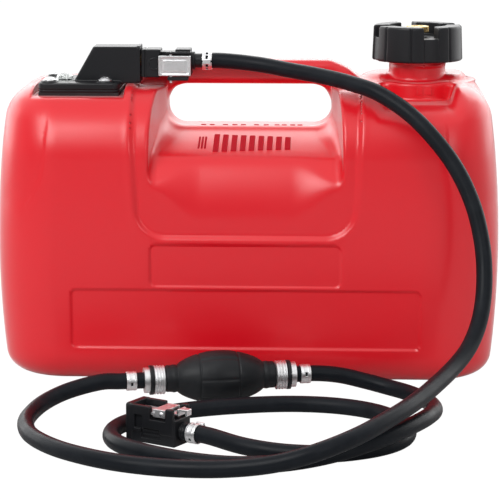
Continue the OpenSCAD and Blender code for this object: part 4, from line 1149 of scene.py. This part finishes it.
# %% [markdown]
# ## From a group to a material
# The group feeds Base Color, Roughness and, through a bump node, the Normal of a plain Principled
# shader. What is the same all over a surface, such as how strongly it mirrors, is a fixed number
# on the shader's own socket.


# %% Making a material
def finish(name, group, given, bump=0.4, depth=0.00006, **fixed):
    """A material: one group feeds Principled, fixed values go straight to its sockets."""
    made = bpy.data.materials.new(name)
    made.use_nodes = True
    tree = made.node_tree
    shader = tree.nodes["Principled BSDF"]
    block = tree.nodes.new("ShaderNodeGroup")
    block.node_tree = group
    for key, value in given.items():
        block.inputs[key].default_value = value
    tree.links.new(block.outputs["Color"], shader.inputs["Base Color"])
    tree.links.new(block.outputs["Roughness"], shader.inputs["Roughness"])
    relief = put(tree, "ShaderNodeBump", {"Height": block.outputs["Height"]}, Strength=bump,
                 Distance=depth)
    tree.links.new(relief.outputs[0], shader.inputs["Normal"])
    for key, value in fixed.items():
        shader.inputs[key.replace("_", " ")].default_value = value
    print(name, "is made of", group.name)
    return made


# %% [markdown]
# ## Red and black plastic
# The tank is red polyethylene, waxy and half glossy: sheen and a thin coat make its turned-away
# edges pale, as wax does. A brighter colour would lift the whole wall instead of its edges alone.
# The black mouldings mirror less than a default plastic, which keeps them deep black beside it.

# %% Red and black plastic
look = {
    "red_plastic": finish(
        "red polyethylene", PLASTIC,
        {"Color": (0.76, 0.002, 0.012, 1), "Worn Color": (0.82, 0.016, 0.024, 1),
         "Roughness": 0.34, "Grain Scale": 620.0, "Scuffs": 0.2},
        bump=0.5, depth=0.00008, IOR=1.5, Sheen_Weight=1.0, Sheen_Roughness=0.22,
        Coat_Weight=0.35, Coat_Roughness=0.25, Coat_IOR=1.6),
    "black_plastic": finish(
        "black nylon", PLASTIC,
        {"Color": (0.010, 0.0105, 0.0125, 1), "Worn Color": (0.03, 0.03, 0.034, 1),
         "Roughness": 0.36, "Grain Scale": 1300.0, "Scuffs": 0.35},
        bump=0.45, depth=0.00005, IOR=1.38)}

# %% [markdown]
# ## The rubbers and the metals
# Hose, bulb and seals are three mixes of the same rubber: the hose is the smoothest and darkest,
# the seals are dull. Steel and brass differ in colour, in polish and in how much they have
# tarnished, so both take the same group with other numbers. Metal is left a little rough, because
# a perfect mirror would show the studio's lamps.

# %% Rubbers and metals
look.update({
    "hose_rubber": finish(
        "hose rubber", RUBBER,
        {"Color": (0.008, 0.0098, 0.013, 1), "Dust Color": (0.018, 0.021, 0.026, 1),
         "Roughness": 0.38, "Dust": 0.5}, bump=0.3, depth=0.00004, IOR=1.22),
    "bulb_rubber": finish(
        "bulb rubber", RUBBER,
        {"Color": (0.012, 0.013, 0.015, 1), "Dust Color": (0.035, 0.037, 0.04, 1),
         "Roughness": 0.42, "Dust": 0.45}, bump=0.5, depth=0.00006, IOR=1.32),
    "seal_rubber": finish(
        "seal rubber", RUBBER,
        {"Color": (0.012, 0.012, 0.013, 1), "Roughness": 0.55, "Dust": 0.2}, bump=0.4),
    "steel": finish(
        "pressed steel", METAL,
        {"Color": (0.88, 0.88, 0.89, 1), "Tarnish Color": (0.5, 0.48, 0.46, 1),
         "Roughness": 0.36, "Tarnish": 0.3}, bump=0.25, depth=0.00004, Metallic=1.0),
    "brass": finish(
        "brass", METAL,
        {"Color": (0.72, 0.50, 0.20, 1), "Tarnish Color": (0.36, 0.22, 0.09, 1),
         "Roughness": 0.26, "Tarnish": 0.6}, bump=0.25, depth=0.00004, Metallic=1.0)})

# %% [markdown]
# ## Clear, white and ivory plastic
# The window over the gauge is clear. It could be left out, as little of it shows, but its shine
# tells that the gauge is covered. White and ivory are the colours of undyed plastic, as it is
# used inside: the pointer is white, the float, the pickup tube and its strainer are ivory.

# %% Clear, white and ivory plastic
look.update({
    "clear_plastic": finish(
        "clear plastic", PLASTIC,
        {"Color": (0.94, 0.96, 0.95, 1), "Worn Color": (0.9, 0.92, 0.91, 1),
         "Roughness": 0.08, "Grain Scale": 500.0, "Scuffs": 0.2},
        bump=0.15, depth=0.00003, Transmission_Weight=1.0, IOR=1.49),
    "white_plastic": finish(
        "white plastic", PLASTIC,
        {"Color": (0.8, 0.8, 0.78, 1), "Worn Color": (0.7, 0.69, 0.66, 1),
         "Roughness": 0.45, "Scuffs": 0.15}, bump=0.3),
    "ivory_plastic": finish(
        "ivory plastic", PLASTIC,
        {"Color": (0.72, 0.66, 0.5, 1), "Worn Color": (0.6, 0.52, 0.38, 1),
         "Roughness": 0.5, "Scuffs": 0.2}, bump=0.3)})
print(len(look), "finishes")

# %% [markdown]
# ## Every piece gets its finish
# Each piece belongs to a slot of the record: a skin was told its slot when it was made, and a
# solid of the model has a material of the slot's name. Going through all pieces in one loop makes
# sure that none is left in plain grey. The bars and dashes take a matt red that is painted darker
# than the tank's: painted shade, as they are moulded of the same plastic.

# %% Giving out the finishes
slot_of = {part["node"]: part["material_slot"] for part in frame["record"]["subparts"]}
made = 0
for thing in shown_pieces():
    wanted = thing.get("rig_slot") or slot_of.get(thing.name)
    named = [old.material.name.split(".")[0] for old in thing.material_slots if old.material]
    for key in look:
        if key in named:
            wanted = key
    if wanted in look:
        if not thing.material_slots:
            thing.data.materials.append(look[wanted])
        for old in thing.material_slots:
            old.material = look[wanted]
        made += 1
    else:
        print("no slot for", thing.name, [s.name for s in thing.material_slots])
# Painted shade: the raised marks are moulded in the tank's own red, and this darker red stands in
# for the shine that they catch less than the scoop round them.
shaded_mark_look = finish(
    "matt red marks", PLASTIC,
    {"Color": (0.50, 0.008, 0.02, 1), "Worn Color": (0.56, 0.02, 0.03, 1),
     "Roughness": 0.85, "Grain Scale": 620.0, "Scuffs": 0.1}, bump=0.3, Specular_IOR_Level=0.1)
for thing in marks:
    thing.material_slots[0].material = shaded_mark_look
print(made, "pieces have their material")

# %% [markdown]
# ## The floor
# In a studio the tank stands on white paper. The paper is mid grey for the light, so that it
# doesn't throw a glare up at the red walls. For the camera alone it also glows, which makes it
# white and keeps a faint shadow under the tank. A backdrop that curves up behind could do the
# same, but here the floor meets a world that is just as white, so no seam shows.

# %% Floor
bpy.ops.mesh.primitive_plane_add(size=8, location=(0, 0.5, 0))
floor = bpy.context.object
floor.name = "floor"
paper = bpy.data.materials.new("paper")
paper.use_nodes = True
tree = paper.node_tree
base = tree.nodes["Principled BSDF"]
base.inputs["Base Color"].default_value = (0.55, 0.55, 0.55, 1)
base.inputs["Roughness"].default_value = 0.9
base.inputs["Specular IOR Level"].default_value = 0.0
lit = put(tree, "ShaderNodeEmission", Color=(1, 1, 1, 1), Strength=1.12)
seen = tree.nodes.new("ShaderNodeLightPath").outputs["Is Camera Ray"]
mix = put(tree, "ShaderNodeMixShader", {0: add(tree, seen, 0.9, "MULTIPLY"),
                                        1: base.outputs[0], 2: lit.outputs[0]})
tree.links.new(mix.outputs[0], tree.nodes["Material Output"].inputs["Surface"])
floor.data.materials.append(paper)
print("the floor is", round(floor.dimensions.x, 1), "m wide")

# %% [markdown]
# ## The world
# The world gives an even, weak light from all sides. The camera sees it white. A photographed
# surrounding could be reflected, but it would need a file, so the cards of a studio are worked
# out from a ray's direction. Reflections see white ones behind and above and dimmer ones at the
# sides, but almost none in front: so the shoulders and the deck shine pale while the front stays
# a deep red. `glow` is the brightest of those cards for the direction in which a ray leaves.

# %% World
world = bpy.data.worlds.new("studio")
bpy.context.scene.world = world
world.use_nodes = True
tree = world.node_tree
back = tree.nodes["Background"]
path = tree.nodes.new("ShaderNodeLightPath")
way = put(tree, "ShaderNodeSeparateXYZ",
          {0: tree.nodes.new("ShaderNodeTexCoord").outputs["Generated"]})
behind = spread(tree, way.outputs["Y"], -0.35, 0.35, 0.05, 1.0)
above = spread(tree, way.outputs["Z"], 0.35, 0.85, 0.05, 1.0)
side = spread(tree, add(tree, way.outputs["X"], 0, "ABSOLUTE"), 0.75, 0.98, 0.05, 0.5)
glow = add(tree, add(tree, behind, above, "MAXIMUM"), side, "MAXIMUM")
seen = add(tree, path.outputs["Is Camera Ray"], path.outputs["Is Transmission Ray"], "MAXIMUM")
glow = add(tree, glow, add(tree, seen, 1.02, "MULTIPLY"), "MAXIMUM")
shown = add(tree, seen, path.outputs["Is Glossy Ray"], "MAXIMUM")
bright = put(tree, "ShaderNodeBackground", {"Strength": glow}, Color=(1, 1, 1, 1))
back.inputs["Color"].default_value = (1, 1, 1, 1)
back.inputs["Strength"].default_value = 0.55
both = put(tree, "ShaderNodeMixShader", {0: shown, 1: back.outputs[0], 2: bright.outputs[0]})
tree.links.new(both.outputs[0], tree.nodes["World Output"].inputs["Surface"])
print("the world lights with", round(back.inputs["Strength"].default_value, 2))

# %% [markdown]
# ## The lamps
# Small lamps would leave hard shadows and dots of glare, big soft ones leave hardly any. The key
# stands high at the left front and gives the broad soft shine on the upper left. The fill opens
# the right side, and three lamps behind and beside the tank draw pale rims along the handle and
# the ends. None of them is seen itself.


# %% Lamps
def softbox(name, place, aim, wide, high, watts):
    light = bpy.data.lights.new(name, "AREA")
    light.shape = "RECTANGLE"
    light.size, light.size_y, light.energy = wide, high, watts
    thing = bpy.data.objects.new(name, light)
    thing.location = place
    away = Matrix.Translation(place).translation - Matrix.Translation(aim).translation
    thing.rotation_euler = away.to_track_quat("Z", "Y").to_euler()
    thing.visible_camera = False
    bpy.context.scene.collection.objects.link(thing)
    print(name, watts, "W")


softbox("key", (-1.0, -1.7, 1.5), (0, -0.1, 0.1), 1.2, 1.2, 28)
softbox("fill", (1.2, -1.9, 0.9), (0, -0.1, 0.1), 0.7, 0.9, 5)
softbox("back", (0, 1.5, 1.1), (0, 0, 0.15), 2.6, 1.3, 24)
softbox("left", (-1.5, 0.9, 0.6), (0, 0, 0.12), 1.3, 1.1, 9)
softbox("right", (1.5, 1.1, 0.6), (0, 0, 0.12), 1.3, 1.1, 8)
bpy.context.scene.view_settings.view_transform = "Standard"
